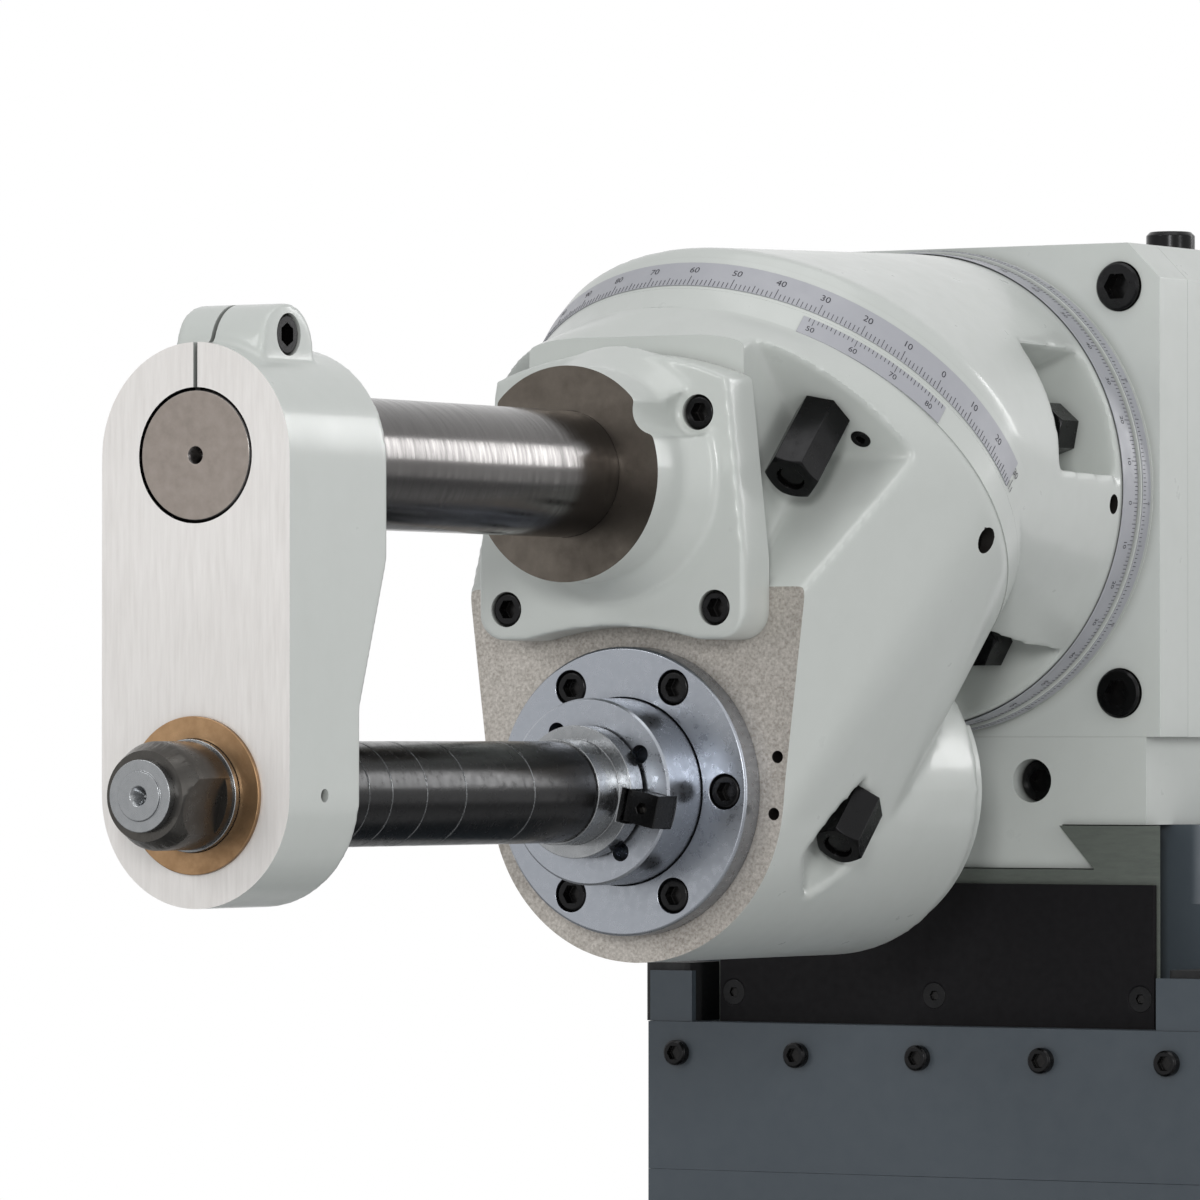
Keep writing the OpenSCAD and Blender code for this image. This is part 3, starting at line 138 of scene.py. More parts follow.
# %% Grain group
def grain_group():
    """Colour mottle, roughness and a bump from noise at two sizes."""
    tree, start, end = group(
        "Grain",
        [
            ("Color", "NodeSocketColor", (0.5, 0.5, 0.5, 1)),
            ("Shade", "NodeSocketColor", (0.3, 0.3, 0.3, 1)),
            ("Roughness", "NodeSocketFloat", 0.4),
            ("Scale", "NodeSocketFloat", 60.0),
            ("Stretch", "NodeSocketVector", (1, 1, 1)),
            ("Mottle", "NodeSocketFloat", 0.3),
            ("Bump", "NodeSocketFloat", 0.1),
        ],
        [("Color", "NodeSocketColor"), ("Roughness", "NodeSocketFloat"), ("Normal", "NodeSocketVector")],
    )
    given = start.outputs
    place = node(tree, "ShaderNodeTexCoord").outputs["Object"]
    spread = node(tree, "ShaderNodeVectorMath", operation="MULTIPLY")
    feed(tree, spread.inputs[0], place)
    feed(tree, spread.inputs[1], given["Stretch"])
    fine = node(
        tree, "ShaderNodeTexNoise", Vector=spread.outputs[0], Detail=6.0, Roughness=0.6, Scale=given["Scale"]
    ).outputs["Fac"]
    broad = node(tree, "ShaderNodeTexNoise", Vector=place, Scale=9.0, Detail=3.0).outputs["Fac"]
    # Six parts of the fine noise and four of the broad one, with three times the contrast.
    both = math_node(tree, "MULTIPLY_ADD", broad, 0.4, math_node(tree, "MULTIPLY", fine, 0.6))
    middle = math_node(tree, "SUBTRACT", both, 0.5)
    mottle = math_node(tree, "MULTIPLY_ADD", middle, 3.0, 0.5, clamp=True)
    amount = math_node(tree, "MULTIPLY", mottle, given["Mottle"])
    feed(tree, end.inputs["Color"], mix_color(tree, amount, given["Color"], given["Shade"]))
    swing = math_node(tree, "SUBTRACT", fine, 0.5)
    rough = math_node(tree, "MULTIPLY_ADD", swing, 0.35, given["Roughness"], clamp=True)
    feed(tree, end.inputs["Roughness"], rough)
    bump = node(tree, "ShaderNodeBump", Height=fine, Distance=0.0006, Strength=given["Bump"])
    feed(tree, end.inputs["Normal"], bump.outputs["Normal"])
    return tree


GRAIN = grain_group()
print("grain group has", len(GRAIN.nodes), "nodes")

# %% [markdown]
# ## Painted shade in the crevices
# Narrow places, such as round screw heads, seams and corners, are made darker: this dark is painted
# shade. It could be painted by hand on each piece. The ambient occlusion node finds such places by
# itself, because it measures how much of the sky a point can't see.


# %% Crevice shade group
def crevice_group():
    """Darkens narrow places: painted shade."""
    tree, start, end = group(
        "Crevice_shade",
        [
            ("Color", "NodeSocketColor", (0.5, 0.5, 0.5, 1)),
            ("Painted_shade", "NodeSocketColor", (0.05, 0.045, 0.04, 1)),
            ("Amount", "NodeSocketFloat", 0.6),
            ("Reach", "NodeSocketFloat", 0.006),
        ],
        [("Color", "NodeSocketColor")],
    )
    given = start.outputs
    sky = node(tree, "ShaderNodeAmbientOcclusion", samples=6, Distance=given["Reach"])
    closed = math_node(tree, "SUBTRACT", 1.0, sky.outputs["AO"])
    amount = math_node(tree, "MULTIPLY", math_node(tree, "POWER", closed, 1.6), given["Amount"])
    # The dark mixed in here is painted shade.
    feed(tree, end.inputs["Color"], mix_color(tree, amount, given["Color"], given["Painted_shade"]))
    return tree


CREVICE_SHADE = crevice_group()
print("crevice group has", len(CREVICE_SHADE.nodes), "nodes")

# %% [markdown]
# ## One recipe for all materials
# Paint, steel and rubber differ in a few numbers only: colour, roughness, how metallic they are, and
# the size of their grain. So one function makes them all from the two groups and a Principled
# shader. Colours are typed as on a screen, from 0 to 255, and made linear for the shader.

# %% Finish tool
COAT_ROUGH = 0.14


def srgb(*levels):
    """A colour given as 0 to 255, made linear for the shader."""
    parts = [c / 255 for c in levels]
    return tuple(c / 12.92 if c < 0.04 else ((c + 0.055) / 1.055) ** 2.4 for c in parts) + (1.0,)


# The crevice amount of each finish sets how much painted shade darkens its narrow places.
def finish(
    name, color, shade, rough,
    metallic=0.0, scale=60.0, stretch=(1, 1, 1), mottle=0.3, bump=0.1, coat=0.0, crevice_shade=0.6, gloss=0.5,
):
    """One material: grain, then painted shade in the crevices, into a Principled shader."""
    material = bpy.data.materials.new(name)
    material.use_nodes = True
    tree = material.node_tree
    grain = node(
        tree, "ShaderNodeGroup", node_tree=GRAIN, Color=srgb(*color), Shade=srgb(*shade), Roughness=rough,
        Scale=scale, Stretch=stretch, Mottle=mottle, Bump=bump,
    ).outputs
    shade_in_crevices = node(tree, "ShaderNodeGroup", node_tree=CREVICE_SHADE, Color=grain["Color"], Amount=crevice_shade)
    settings = {
        "Base Color": shade_in_crevices.outputs["Color"], "Roughness": grain["Roughness"],
        "Normal": grain["Normal"], "Metallic": metallic, "Coat Weight": coat,
        "Coat Roughness": COAT_ROUGH, "Specular IOR Level": gloss,
    }
    for key, value in settings.items():
        feed(tree, tree.nodes["Principled BSDF"].inputs[key], value)
    return material


print("mid grey is", round(srgb(128, 128, 128)[0], 3), "in linear light")

# %% [markdown]
# ## Paints and soft materials
# The castings wear a sprayed enamel, a pale grey with a little green. Spraying leaves a soft orange
# peel, which is the faint bump, and the enamel's own shine is the coat. The column is slate
# blue, and the cover over the ways is a dull black that shows no shine at all.

# %% Paints
PAINT = finish(
    "paint", (208, 212, 208), (198, 202, 197), 0.34,
    scale=70, mottle=0.3, bump=0.015, coat=0.35, crevice_shade=0.8, gloss=0.3,
)
SLATE = finish(
    "slate_paint", (76, 84, 91), (64, 72, 80), 0.42,
    scale=90, mottle=0.4, bump=0.03, coat=0.1, crevice_shade=0.6, gloss=0.35,
)
BLACK_PAINT = finish(
    "black_paint", (26, 25, 27), (15, 14, 16), 0.60, scale=200, mottle=0.6, bump=0.08, crevice_shade=0.2, gloss=0.12
)
# Nearly black, for the walls of small holes: painted shade.
HOLE_SHADE = finish(
    "hole_painted_shade", (34, 32, 30), (20, 19, 18), 0.55, scale=200, mottle=0.5, bump=0.05, crevice_shade=0.2, gloss=0.2
)
RUBBER = finish("rubber", (26, 26, 27), (16, 16, 17), 0.72, scale=240, mottle=0.5, bump=0.2, crevice_shade=0.0)
RED = finish("red_plastic", (190, 30, 26), (160, 22, 20), 0.28, scale=120, mottle=0.2, bump=0.02)
FILM = finish(
    "scale_film", (176, 177, 183), (160, 162, 169), 0.42, scale=120, mottle=0.3, bump=0.02, crevice_shade=0.3
)
INK = finish("scale_ink", (40, 38, 48), (28, 26, 36), 0.6, scale=100, mottle=0.2, bump=0.0, crevice_shade=0.0)
soft_finishes = (PAINT, SLATE, BLACK_PAINT, HOLE_SHADE, RUBBER, RED, FILM, INK)
print("paints and soft materials made:", len(soft_finishes))

# %% [markdown]
# ## Metals
# Each metal shows how it was worked. The bar was ground while it turned, so its marks run round
# it. The support's face is brushed up and down, and the ways are marked from side to side. That
# is the stretch: one number for each axis, and the marks run across the axis with the large
# one. Screws are blackened in an oxide bath. Iron that was ground and left bare has gone
# brownish and speckled, so its grain is fine and strong and it is less than fully metallic.

# %% Metals
STEEL = finish(
    "steel", (152, 154, 156), (114, 117, 120), 0.26, metallic=1.0, scale=220, mottle=0.4, bump=0.03
)
BLUED = finish(
    "ring_steel", (156, 160, 167), (130, 135, 143), 0.30, metallic=1.0, scale=260, mottle=0.3, bump=0.03
)
BAR_STEEL = finish(
    "bar_steel", (104, 102, 101), (62, 60, 60), 0.20,
    metallic=1.0, scale=40, stretch=(1, 9, 1), mottle=0.6, bump=0.02,
)
DISC_STEEL = finish(
    "disc_steel", (102, 96, 89), (62, 56, 51), 0.36, metallic=1.0, scale=90, mottle=0.6, bump=0.05
)
BRUSHED = finish(
    "brushed_face", (238, 235, 232), (208, 204, 200), 0.40,
    metallic=0.3, scale=30, stretch=(14, 1, 1.2), mottle=0.6, bump=0.05,
)
GROUND_IRON = finish(
    "ground_iron", (206, 201, 194), (122, 114, 105), 0.46, metallic=0.4, scale=760, mottle=0.9, bump=0.2
)
WAY_IRON = finish(
    "way_iron", (112, 118, 111), (84, 90, 85), 0.46,
    metallic=0.3, scale=90, stretch=(1, 1, 5), mottle=0.7, bump=0.08,
)
TABLE_IRON = finish(
    "table_iron", (150, 150, 147), (112, 112, 110), 0.36,
    metallic=0.8, scale=70, stretch=(1, 4, 1), mottle=0.6, bump=0.06,
)
OXIDE = finish(
    "black_oxide", (30, 30, 31), (16, 16, 17), 0.24, metallic=0.8, scale=180, mottle=0.6, bump=0.04, crevice_shade=0.4
)
DARK_STEEL = finish(
    "dark_steel", (84, 82, 79), (54, 52, 50), 0.30, metallic=0.9, scale=150, mottle=0.6, bump=0.04, crevice_shade=0.4
)
BAR_END = finish(
    "bar_end", (150, 141, 134), (122, 114, 107), 0.50, metallic=0.7, scale=160, mottle=0.6, bump=0.06
)
BRONZE = finish(
    "bronze", (172, 140, 106), (124, 96, 68), 0.34, metallic=1.0, scale=160, mottle=0.7, bump=0.05
)
metal_finishes = (
    STEEL, BLUED, BAR_STEEL, DISC_STEEL, BRUSHED, GROUND_IRON, WAY_IRON, TABLE_IRON, OXIDE, DARK_STEEL,
    BAR_END, BRONZE,
)
print("metals made:", len(metal_finishes))

# %% [markdown]
# ## A finish for every CAD node
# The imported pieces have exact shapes, so most are shown as they are. Each gets the finish of its
# real counterpart. Machinists break every sharp edge with a file, and that thin facet is what
# catches the light. A large radius could be modelled, but a narrow bevel reads the same and keeps
# the outline. Cast pieces get a wider one, in millimetres.

# %% Finishes and bevel widths
NODE_FINISH = {
    "base_casting": SLATE, "column": SLATE, "vertical_ways": WAY_IRON, "way_cover_panel": BLACK_PAINT,
    "panel_screws": OXIDE, "column_door": PAINT, "door_pins": STEEL, "control_box": PAINT,
    "main_switch": RED, "stop_button": RED, "elevating_nut": SLATE, "ram_gib": STEEL, "ram_body": PAINT,
    "ram_plate": PAINT, "ram_plate_screws": OXIDE, "ram_oil_cap": OXIDE, "ram_bearings": STEEL,
    "ram_gearbox": PAINT, "ram_motor": SLATE, "speed_lever": STEEL, "drive_shaft": STEEL,
    "ram_feed_wheel": STEEL, "ram_scale": FILM, "mid_clamp_nuts": OXIDE, "mid_scales": FILM,
    "head_clamp_nuts": OXIDE, "head_scale": FILM, "head_plugs": OXIDE, "ring_flange": BLUED,
    "ring_screws": OXIDE, "rear_cap": PAINT, "cap_screws": OXIDE, "bracket_screws": OXIDE,
    "head_bearings": STEEL, "cross_shaft": STEEL, "spindle": BLUED, "drive_keys": OXIDE,
    "draw_bar": OXIDE, "arbor": STEEL, "arbor_spacers": OXIDE, "arbor_sleeve": STEEL,
    "arbor_nut": DARK_STEEL, "overarm_bar": BAR_STEEL, "support_bush": BRONZE, "support_screw": OXIDE,
    "knee_casting": SLATE, "knee_gib": STEEL, "knee_strip": SLATE, "strip_screws": OXIDE,
    "way_wipers": RUBBER, "elevating_screw": STEEL, "knee_crank": STEEL, "table": TABLE_IRON,
    "table_brackets": SLATE, "table_nut": BRONZE, "table_screw": STEEL,
    "mid_housing": PAINT, "head_housing": PAINT, "overarm_bracket": PAINT, "arbor_support": PAINT,
}
BEVEL_WIDTH = {
    "base_casting": 3.0, "column": 2.5, "knee_casting": 3.0, "ram_body": 2.0, "ram_plate": 1.6,
    "ram_gearbox": 2.5, "ram_motor": 0.8, "table": 0.8, "table_brackets": 2.0, "rear_cap": 0.8,
    "knee_strip": 1.2, "column_door": 1.0, "control_box": 1.5, "elevating_nut": 1.5,
}
FINE_BEVEL = 0.35
print("nodes with a wide bevel:", len(BEVEL_WIDTH))

# %% [markdown]
# ## Soft edges on the CAD nodes
# An imported mesh is a soup of flat triangles with split vertices. Welding joins them, a planar
# dissolve turns each flat side into one face, and then the bevel finds the true edges by their
# angle. Weighted normals keep the big sides flat in the light. All are modifiers, so no vertex
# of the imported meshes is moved.


# %% Soften the nodes
FLAT_ANGLE = math.radians(0.5)
EDGE_ANGLE = math.radians(35)


def soften(o, width):
    """Welds the import's split vertices, joins flat triangles and bevels the sharp edges."""
    o.data.normals_split_custom_set([(0.0, 0.0, 0.0)] * len(o.data.loops))
    o.data.polygons.foreach_set("use_smooth", [True] * len(o.data.polygons))
    weld = o.modifiers.new("weld", "WELD")
    weld.merge_threshold = 0.01 * MM
    flat = o.modifiers.new("flat", "DECIMATE")
    flat.decimate_type = "DISSOLVE"
    flat.angle_limit = FLAT_ANGLE
    bevel = o.modifiers.new("bevel", "BEVEL")
    bevel.width = width * MM
    bevel.segments = 2
    bevel.limit_method = "ANGLE"
    bevel.angle_limit = EDGE_ANGLE
    bevel.use_clamp_overlap = True
    even = o.modifiers.new("even", "WEIGHTED_NORMAL")
    even.mode = "FACE_AREA"
    even.weight = 50


for name, o in nodes.items():
    o.data.materials.clear()
    o.data.materials.append(NODE_FINISH[name])
    soften(o, BEVEL_WIDTH.get(name, FINE_BEVEL))
print("CAD nodes given finishes:", len(nodes))

# %% [markdown]
# ## Second finishes on three CAD nodes
# Some pieces show two materials. The wipers are rubber behind a small painted plate. The spacers
# are black, but their ends are worn bright where they press on each other, so each seam is a thin
# line. The bar is polished round, and its sawn and faced end stays dull. Splitting such a piece
# in two would break its link to the CAD, so faces get another material slot by where they lie and
# which way they look.

# %% Second finishes
SLIDE_Y = -0.290
PLATE_DEPTH = 0.0045
SUPPORT_Y = -0.938


def refinish(o, material, chosen):
    """Gives a second material to the faces that chosen(centre, normal) picks."""
    o.data.materials.append(material)
    index = len(o.data.materials) - 1
    count = 0
    for p in o.data.polygons:
        if chosen(p.center, p.normal):
            p.material_index = index
            count += 1
    print(o.name, "has", count, "faces of", material.name)


refinish(nodes["way_wipers"], SLATE, lambda c, n: c.y < SLIDE_Y + PLATE_DEPTH)
refinish(nodes["arbor_spacers"], STEEL, lambda c, n: abs(n.y) > 0.3)
refinish(nodes["overarm_bar"], BAR_END, lambda c, n: n.y < -0.9 and c.y < SUPPORT_Y + 0.002)

# %% [markdown]
# ## Shells for cast pieces
# A foundry makes a casting by ramming sand round a wooden pattern, and every inner corner of the
# pattern is filled with a fillet. Modelling such fillets by hand where cones, boxes and cylinders
# meet is slow and often fails. Here a casting starts as simple closed shells that overlap, made
# with bmesh operators, and the fillets come later all at once.


# %% Shell tools
def shell_box(size, matrix=Matrix()):
    """A box of that size centred on the frame's origin."""
    bm = bmesh.new()
    bmesh.ops.create_cube(bm, size=1.0, matrix=matrix @ Matrix.Diagonal((*size, 1.0)))
    return bm


def shell_cylinder(radius, z0, z1, matrix=Matrix(), top=None, segments=96):
    """A cylinder or cone along the frame's Z from z0 to z1."""
    bm = bmesh.new()
    bmesh.ops.create_cone(
        bm, cap_ends=True, segments=segments, radius1=radius, radius2=radius if top is None else top,
        depth=z1 - z0, matrix=matrix @ Matrix.Translation((0, 0, (z0 + z1) / 2)),
    )
    return bm


def shell_outline(points, z0, z1, matrix=Matrix()):
    """A flat outline pushed along the frame's Z from z0 to z1."""
    bm = bmesh.new()
    face = bm.faces.new([bm.verts.new(matrix @ Vector((x, y, z0))) for x, y in points])
    pushed = bmesh.ops.extrude_face_region(bm, geom=[face])["geom"]
    move = matrix.to_3x3() @ Vector((0, 0, z1 - z0))
    bmesh.ops.translate(bm, vec=move, verts=[v for v in pushed if isinstance(v, bmesh.types.BMVert)])
    bmesh.ops.recalc_face_normals(bm, faces=bm.faces)
    return bm


print("shell tools ready")

# %% [markdown]
# ## Cuts and rounding
# After casting, a machine shop mills the faces and bores the holes, so those edges are sharp while
# all others are soft. The same order is kept here. Remeshing on a voxel grid unites the shells,
# and smoothing it rounds every corner as a mould would. Exact boolean cuts come last. A bevel
# could round the edges too, but it can't fill the inner corners between shells.


# %% Cutting and rounding tools
def to_object(name, shells):
    """Joins shells into one object at the origin."""
    bm = bmesh.new()
    for part in shells:
        mesh = bpy.data.meshes.new("shell")
        part.to_mesh(mesh)
        part.free()
        bm.from_mesh(mesh)
        bpy.data.meshes.remove(mesh)
    mesh = bpy.data.meshes.new(name)
    bm.to_mesh(mesh)
    bm.free()
    made = bpy.data.objects.new(name, mesh)
    scene.collection.objects.link(made)
    return made


def apply_all(o):
    """Replaces the object's mesh by what its modifiers make of it."""
    made = bpy.data.meshes.new_from_object(o.evaluated_get(bpy.context.evaluated_depsgraph_get()))
    old = o.data
    o.modifiers.clear()
    o.data = made
    made.name = o.name
    bpy.data.meshes.remove(old)


def cut(o, shells, operation="DIFFERENCE"):
    """Takes each shell away from the object, or adds it, or keeps what both share."""
    for part in shells:
        tool = to_object("tool", [part])
        step = o.modifiers.new("cut", "BOOLEAN")
        step.operation = operation
        step.solver = "EXACT"
        step.object = tool
        apply_all(o)
        mesh = tool.data
        bpy.data.objects.remove(tool)
        bpy.data.meshes.remove(mesh)


def remesh(o, voxel, rounds):
    """Unites the shells on a voxel grid, in millimetres, and rounds the corners."""
    step = o.modifiers.new("remesh", "REMESH")
    step.mode = "VOXEL"
    step.voxel_size = voxel * MM
    if rounds:
        smooth = o.modifiers.new("smooth", "SMOOTH")
        smooth.factor = 0.5
        smooth.iterations = rounds
    apply_all(o)


def shade(o, angle=32):
    """Smooth shading with sharp machined edges."""
    o.data.polygons.foreach_set("use_smooth", [True] * len(o.data.polygons))
    o.data.set_sharp_from_angle(angle=math.radians(angle))


print("cutting and rounding tools ready")

# %% [markdown]
# ## From shells to a casting
# Four castings are shown by a stand-in of the same shape: arbor support, over-arm bracket, head and
# intermediate housing. Each rides on the body of the CAD node it stands for, and that node is
# hidden, so joints and sizes still come from the CAD. Pockets are cut between two remesh steps,
# which rounds their corners as well. What is united or machined afterwards stays crisp.


# %% Casting tool
def cast(name, body, stands_for, shells, voxel, rounds, pockets=(), unite=(), machine=()):
    """A painted casting with machined cuts, riding on its CAD body."""
    o = to_object(name, shells)
    remesh(o, voxel, 0)
    cut(o, pockets)
    remesh(o, voxel, rounds)
    cut(o, unite, "UNION")
    cut(o, machine)
    o.data.materials.clear()
    o.data.materials.append(PAINT)
    shade(o)
    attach(o, body)
    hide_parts(stands_for)
    print(name, "made:", len(o.data.polygons), "faces")
    return o


def trimmed(blank, keep=(), drop=()):
    """A shell cut to what it shares with some shells and without others."""
    o = to_object("blank", [blank])
    cut(o, keep, "INTERSECT")
    cut(o, drop)
    bm = bmesh.new()
    bm.from_mesh(o.data)
    mesh = o.data
    bpy.data.objects.remove(o)
    bpy.data.meshes.remove(mesh)
    return bm


print("casting tools ready")

# %% [markdown]
# ## The arbor support: outlines
# The support hangs on the over-arm bar and holds the outer end of the arbor. Seen from the front it
# is a slot shape round two bores, seen from the side it is thick round the bar and thinner
# below. So the front outline is pushed through the whole depth and then cut to the side outline,
# which is how one would saw it from a block.

# %% Outlines of the support
BAR_R = 0.030
BAR_BORE_R = BAR_R + 0.00006
AXES_APART = RAM_Z - SPINDLE_Z
SUPPORT_R = 0.050
SUPPORT_SIDE = [
    (SUPPORT_Y - 0.006, -0.215), (SUPPORT_Y + 0.057, -0.215), (SUPPORT_Y + 0.057, -0.112),
    (SUPPORT_Y + 0.079, -0.046), (SUPPORT_Y + 0.079, 0.060), (SUPPORT_Y - 0.006, 0.060),
]
SIDEWAYS = Matrix.Translation((0, 0, RAM_Z)) @ FRONT @ ACROSS


def slot_outline(radius, steps=32):
    """Slot-shaped outline round the two bores, about the bar's axis."""
    angles = [math.pi * k / steps for k in range(steps + 1)]
    points = [(radius * math.cos(a), radius * math.sin(a)) for a in angles]
    return points + [(-x, -y - AXES_APART) for x, y in points]


print("the support's outline has", len(slot_outline(SUPPORT_R)), "points")

# %% [markdown]
# ## The arbor support: casting
# A round lug on top is split by a thin saw cut, and one screw across it clamps the bar. The front
# face is ground, the lower bore takes a bronze bush, and a small hole on the side is for oil.
# The lug could be part of the outline, but it is narrower than the casting and lies across it. As
# two shells of its own it grows out of the top with a soft neck. The bores have the bar's size
# with a few hundredths to slide, as on the machine.

# %% Cast the support
LUG_Y = SUPPORT_Y + 0.034
LUG_R = 0.0208
LUG_LENGTH = 0.0468
SCREW_Z = RAM_Z + 0.054
BORES_Y = SUPPORT_Y + 0.04


def across(x, y, z):
    """A frame at that point whose +Z looks to the machine's right."""
    return Matrix.Translation((x, y, z)) @ ACROSS


support = cast(
    "support_casting", "support", "arbor_support",
    [
        trimmed(
            shell_outline(slot_outline(SUPPORT_R), -0.010, 0.100, front(0, SUPPORT_Y + 0.090, RAM_Z)),
            keep=[shell_outline(SUPPORT_SIDE, -0.1, 0.1, SIDEWAYS)],
        ),
        shell_cylinder(LUG_R, 0, LUG_LENGTH, across(-0.020, LUG_Y, RAM_Z + 0.047)),
        shell_box((LUG_LENGTH, 2 * LUG_R, 0.040), Matrix.Translation((0.0034, LUG_Y, RAM_Z + 0.028))),
    ],
    voxel=1.3, rounds=7,
    machine=[
        # ground front face, bar bore, bush bore
        shell_box((0.2, 0.02, 0.4), Matrix.Translation((0, SUPPORT_Y - 0.01, RAM_Z - 0.07))),
        shell_cylinder(BAR_BORE_R, -0.1, 0.1, front(0, BORES_Y, RAM_Z), segments=128),
        shell_cylinder(0.03502, -0.1, 0.1, front(0, BORES_Y, SPINDLE_Z), segments=128),
        # clamp slit, seat and hole of the clamp screw, oil hole
        shell_box((0.0022, 0.2, 0.08), Matrix.Translation((0, BORES_Y, RAM_Z + 0.060))),
        shell_cylinder(0.0095, 0.0155, 0.05, across(0, LUG_Y, SCREW_Z), segments=48),
        shell_cylinder(0.0062, -0.0155, 0.05, across(0, LUG_Y, SCREW_Z), segments=48),
        shell_cylinder(0.0030, 0.040, 0.06, across(0, SUPPORT_Y + 0.028, SPINDLE_Z), segments=32),
    ],
)

# %% [markdown]
# ## The arbor support: bare metal
# Paint is put on before machining, so a cut face shows bare metal. The ground front is brushed up
# and down, and the wall of the bar's bore is plain steel. The faces could be picked by number,
# but numbers change with every cut. A test on the face's centre and normal finds them each time.


# %% Bare faces of the support
def in_bar_bore(c, n):
    """True on the wall of the over-arm's bore."""
    return math.hypot(c.x, c.z - RAM_Z) < BAR_R + 0.0003 and abs(n.y) < 0.1


refinish(support, BRUSHED, lambda c, n: n.y < -0.99 and c.y < SUPPORT_Y + 0.0002)
refinish(support, STEEL, in_bar_bore)

# %% [markdown]
# ## The over-arm bracket
# This painted bracket is bolted to the head's ground face, and its round boss clamps the bar. Its
# plate is a rounded rectangle that narrows upward under an arched top edge, and its foot is
# hollowed to follow the ring flange. Each of these is one shell to keep or to drop. The outline
# could be drawn point by point instead, but then every arc would be typed as many points.

# %% Plate of the bracket
FACE_Y = -0.565
BRACKET_FRAME = front(0, FACE_Y, RAM_Z)
BRACKET_T = 0.024
BRACKET_BOLTS = ((-0.058, -0.063), (0.058, -0.063), (-0.049, 0.0295), (0.049, 0.0295))
BOLT_CORE_R = 0.0052
BOSS_OUT = 0.064
WEDGE = [(-0.074, -0.08), (0.074, -0.08), (0.074, -0.04), (0.063, 0.06), (-0.063, 0.06), (-0.074, -0.04)]


def rounded(w, h, r, steps=8, cy=0.0):
    """Points of a rounded rectangle."""
    points = []
    for k, (sx, sy) in enumerate(((1, 1), (-1, 1), (-1, -1), (1, -1))):
        for s in range(steps + 1):
            a = math.radians(90 * (k + s / steps))
            x, y = sx * (w / 2 - r) + r * math.cos(a), cy + sy * (h / 2 - r) + r * math.sin(a)
            points.append((x, y))
    return points


plate = trimmed(
    shell_outline(rounded(0.148, 0.137, 0.014, cy=-0.0095), -0.006, BRACKET_T, BRACKET_FRAME),
    keep=[
        shell_outline(WEDGE, -0.02, 0.05, BRACKET_FRAME),
        shell_cylinder(0.171, -0.02, 0.05, front(0, FACE_Y, RAM_Z - 0.112), segments=128),
    ],
    drop=[shell_cylinder(0.182, -0.02, 0.05, front(0, FACE_Y, RAM_Z - 0.2535), segments=128)],
)
print("bracket plate has", len(plate.faces), "faces")

# %% [markdown]
# ## The bracket: casting
# The back is milled flat on the head's face, the boss is faced at its end, and the bar's bore goes
# through both. Each screw has a wide seat for its head and a narrow hole below. A low cone blends
# the boss into the plate, and the upper screws sit in scallops, cut as pockets so that their
# corners come out soft. The shells reach past both faces, and the cuts take the extra off, so
# the rounding can't touch edges that are sharp on the machine. The faced end of the boss has
# darkened, so it is a disc of its own finish.

# %% Cast the bracket
bracket = cast(
    "bracket_casting", "front_head", "overarm_bracket",
    [
        plate,
        shell_cylinder(0.0512, -0.006, 0.075, BRACKET_FRAME),
        shell_cylinder(0.063, BRACKET_T - 0.006, 0.041, BRACKET_FRAME, top=0.0505),
    ],
    voxel=1.3, rounds=12,
    pockets=[
        shell_cylinder(0.0118, BRACKET_T, 0.1, front(x, FACE_Y, RAM_Z + z)) for x, z in BRACKET_BOLTS[2:]
    ],
    machine=[
        shell_box((0.4, 0.05, 0.4), Matrix.Translation((0, FACE_Y + 0.025, RAM_Z))),
        shell_box((0.4, 0.05, 0.4), Matrix.Translation((0, FACE_Y - BOSS_OUT - 0.025, RAM_Z))),
        shell_cylinder(BAR_BORE_R, -0.1, 0.1, BRACKET_FRAME, segments=128),
    ]
    + [
        shell_cylinder(radius, low, high, front(x, FACE_Y, RAM_Z + z), segments=48)
        for x, z in BRACKET_BOLTS
        for radius, low, high in ((0.0085, BRACKET_T - 0.011, 0.05), (BOLT_CORE_R, -0.01, 0.02))
    ],
)


def on_boss_disc(c, n):
    """True on the faced end of the boss."""
    return n.y < -0.99 and c.y < FACE_Y - BOSS_OUT + 0.0002 and math.hypot(c.x, c.z - RAM_Z) < 0.05


refinish(bracket, DISC_STEEL, on_boss_disc)
refinish(bracket, STEEL, in_bar_bore)

# %% [markdown]
# ## The front head: outer form
# The head is one large casting that changes from a round flange on the slanted joint to the round
# spindle housing and the broad pad that carries the bracket. A lofted surface could join them.
# The convex hull of three shells does the same in one step and is always closed: it is the
# smallest skin round the flange's rim, the housing and the pad.

# %% Outer form of the head
CAP_Y = -0.374
JOINT_R = 0.130


def shell_hull(shells):
    """The convex hull of several shells."""
    bm = bmesh.new()
    for part in shells:
        for v in part.verts:
            bm.verts.new(v.co)
        part.free()
    made = bmesh.ops.convex_hull(bm, input=bm.verts)
    spare = [g for g in made["geom_interior"] + made["geom_unused"] if isinstance(g, bmesh.types.BMVert)]
    bmesh.ops.delete(bm, geom=list(set(spare)), context="VERTS")
    bmesh.ops.recalc_face_normals(bm, faces=bm.faces)
    return bm


head_shells = [
    # the hull of rim, housing and pad; then the spindle housing in full; then the flange
    shell_hull([
        shell_cylinder(0.1296, 0.0125, 0.0165, SLANT),
        shell_cylinder(0.081, 0, 0.099, front(0, JOINT_Y - 0.028, SPINDLE_Z)),
        shell_outline(rounded(0.190, 0.117, 0.042), -0.008, 0.012, front(0, FACE_Y, RAM_Z + 0.0015)),
    ]),
    shell_cylinder(0.082, 0, 0.197, front(0, CAP_Y, SPINDLE_Z)),
    shell_cylinder(JOINT_R - 0.0005, 0.0005, 0.0155, SLANT),
]
print("head's outer form:", [len(part.faces) for part in head_shells], "faces")

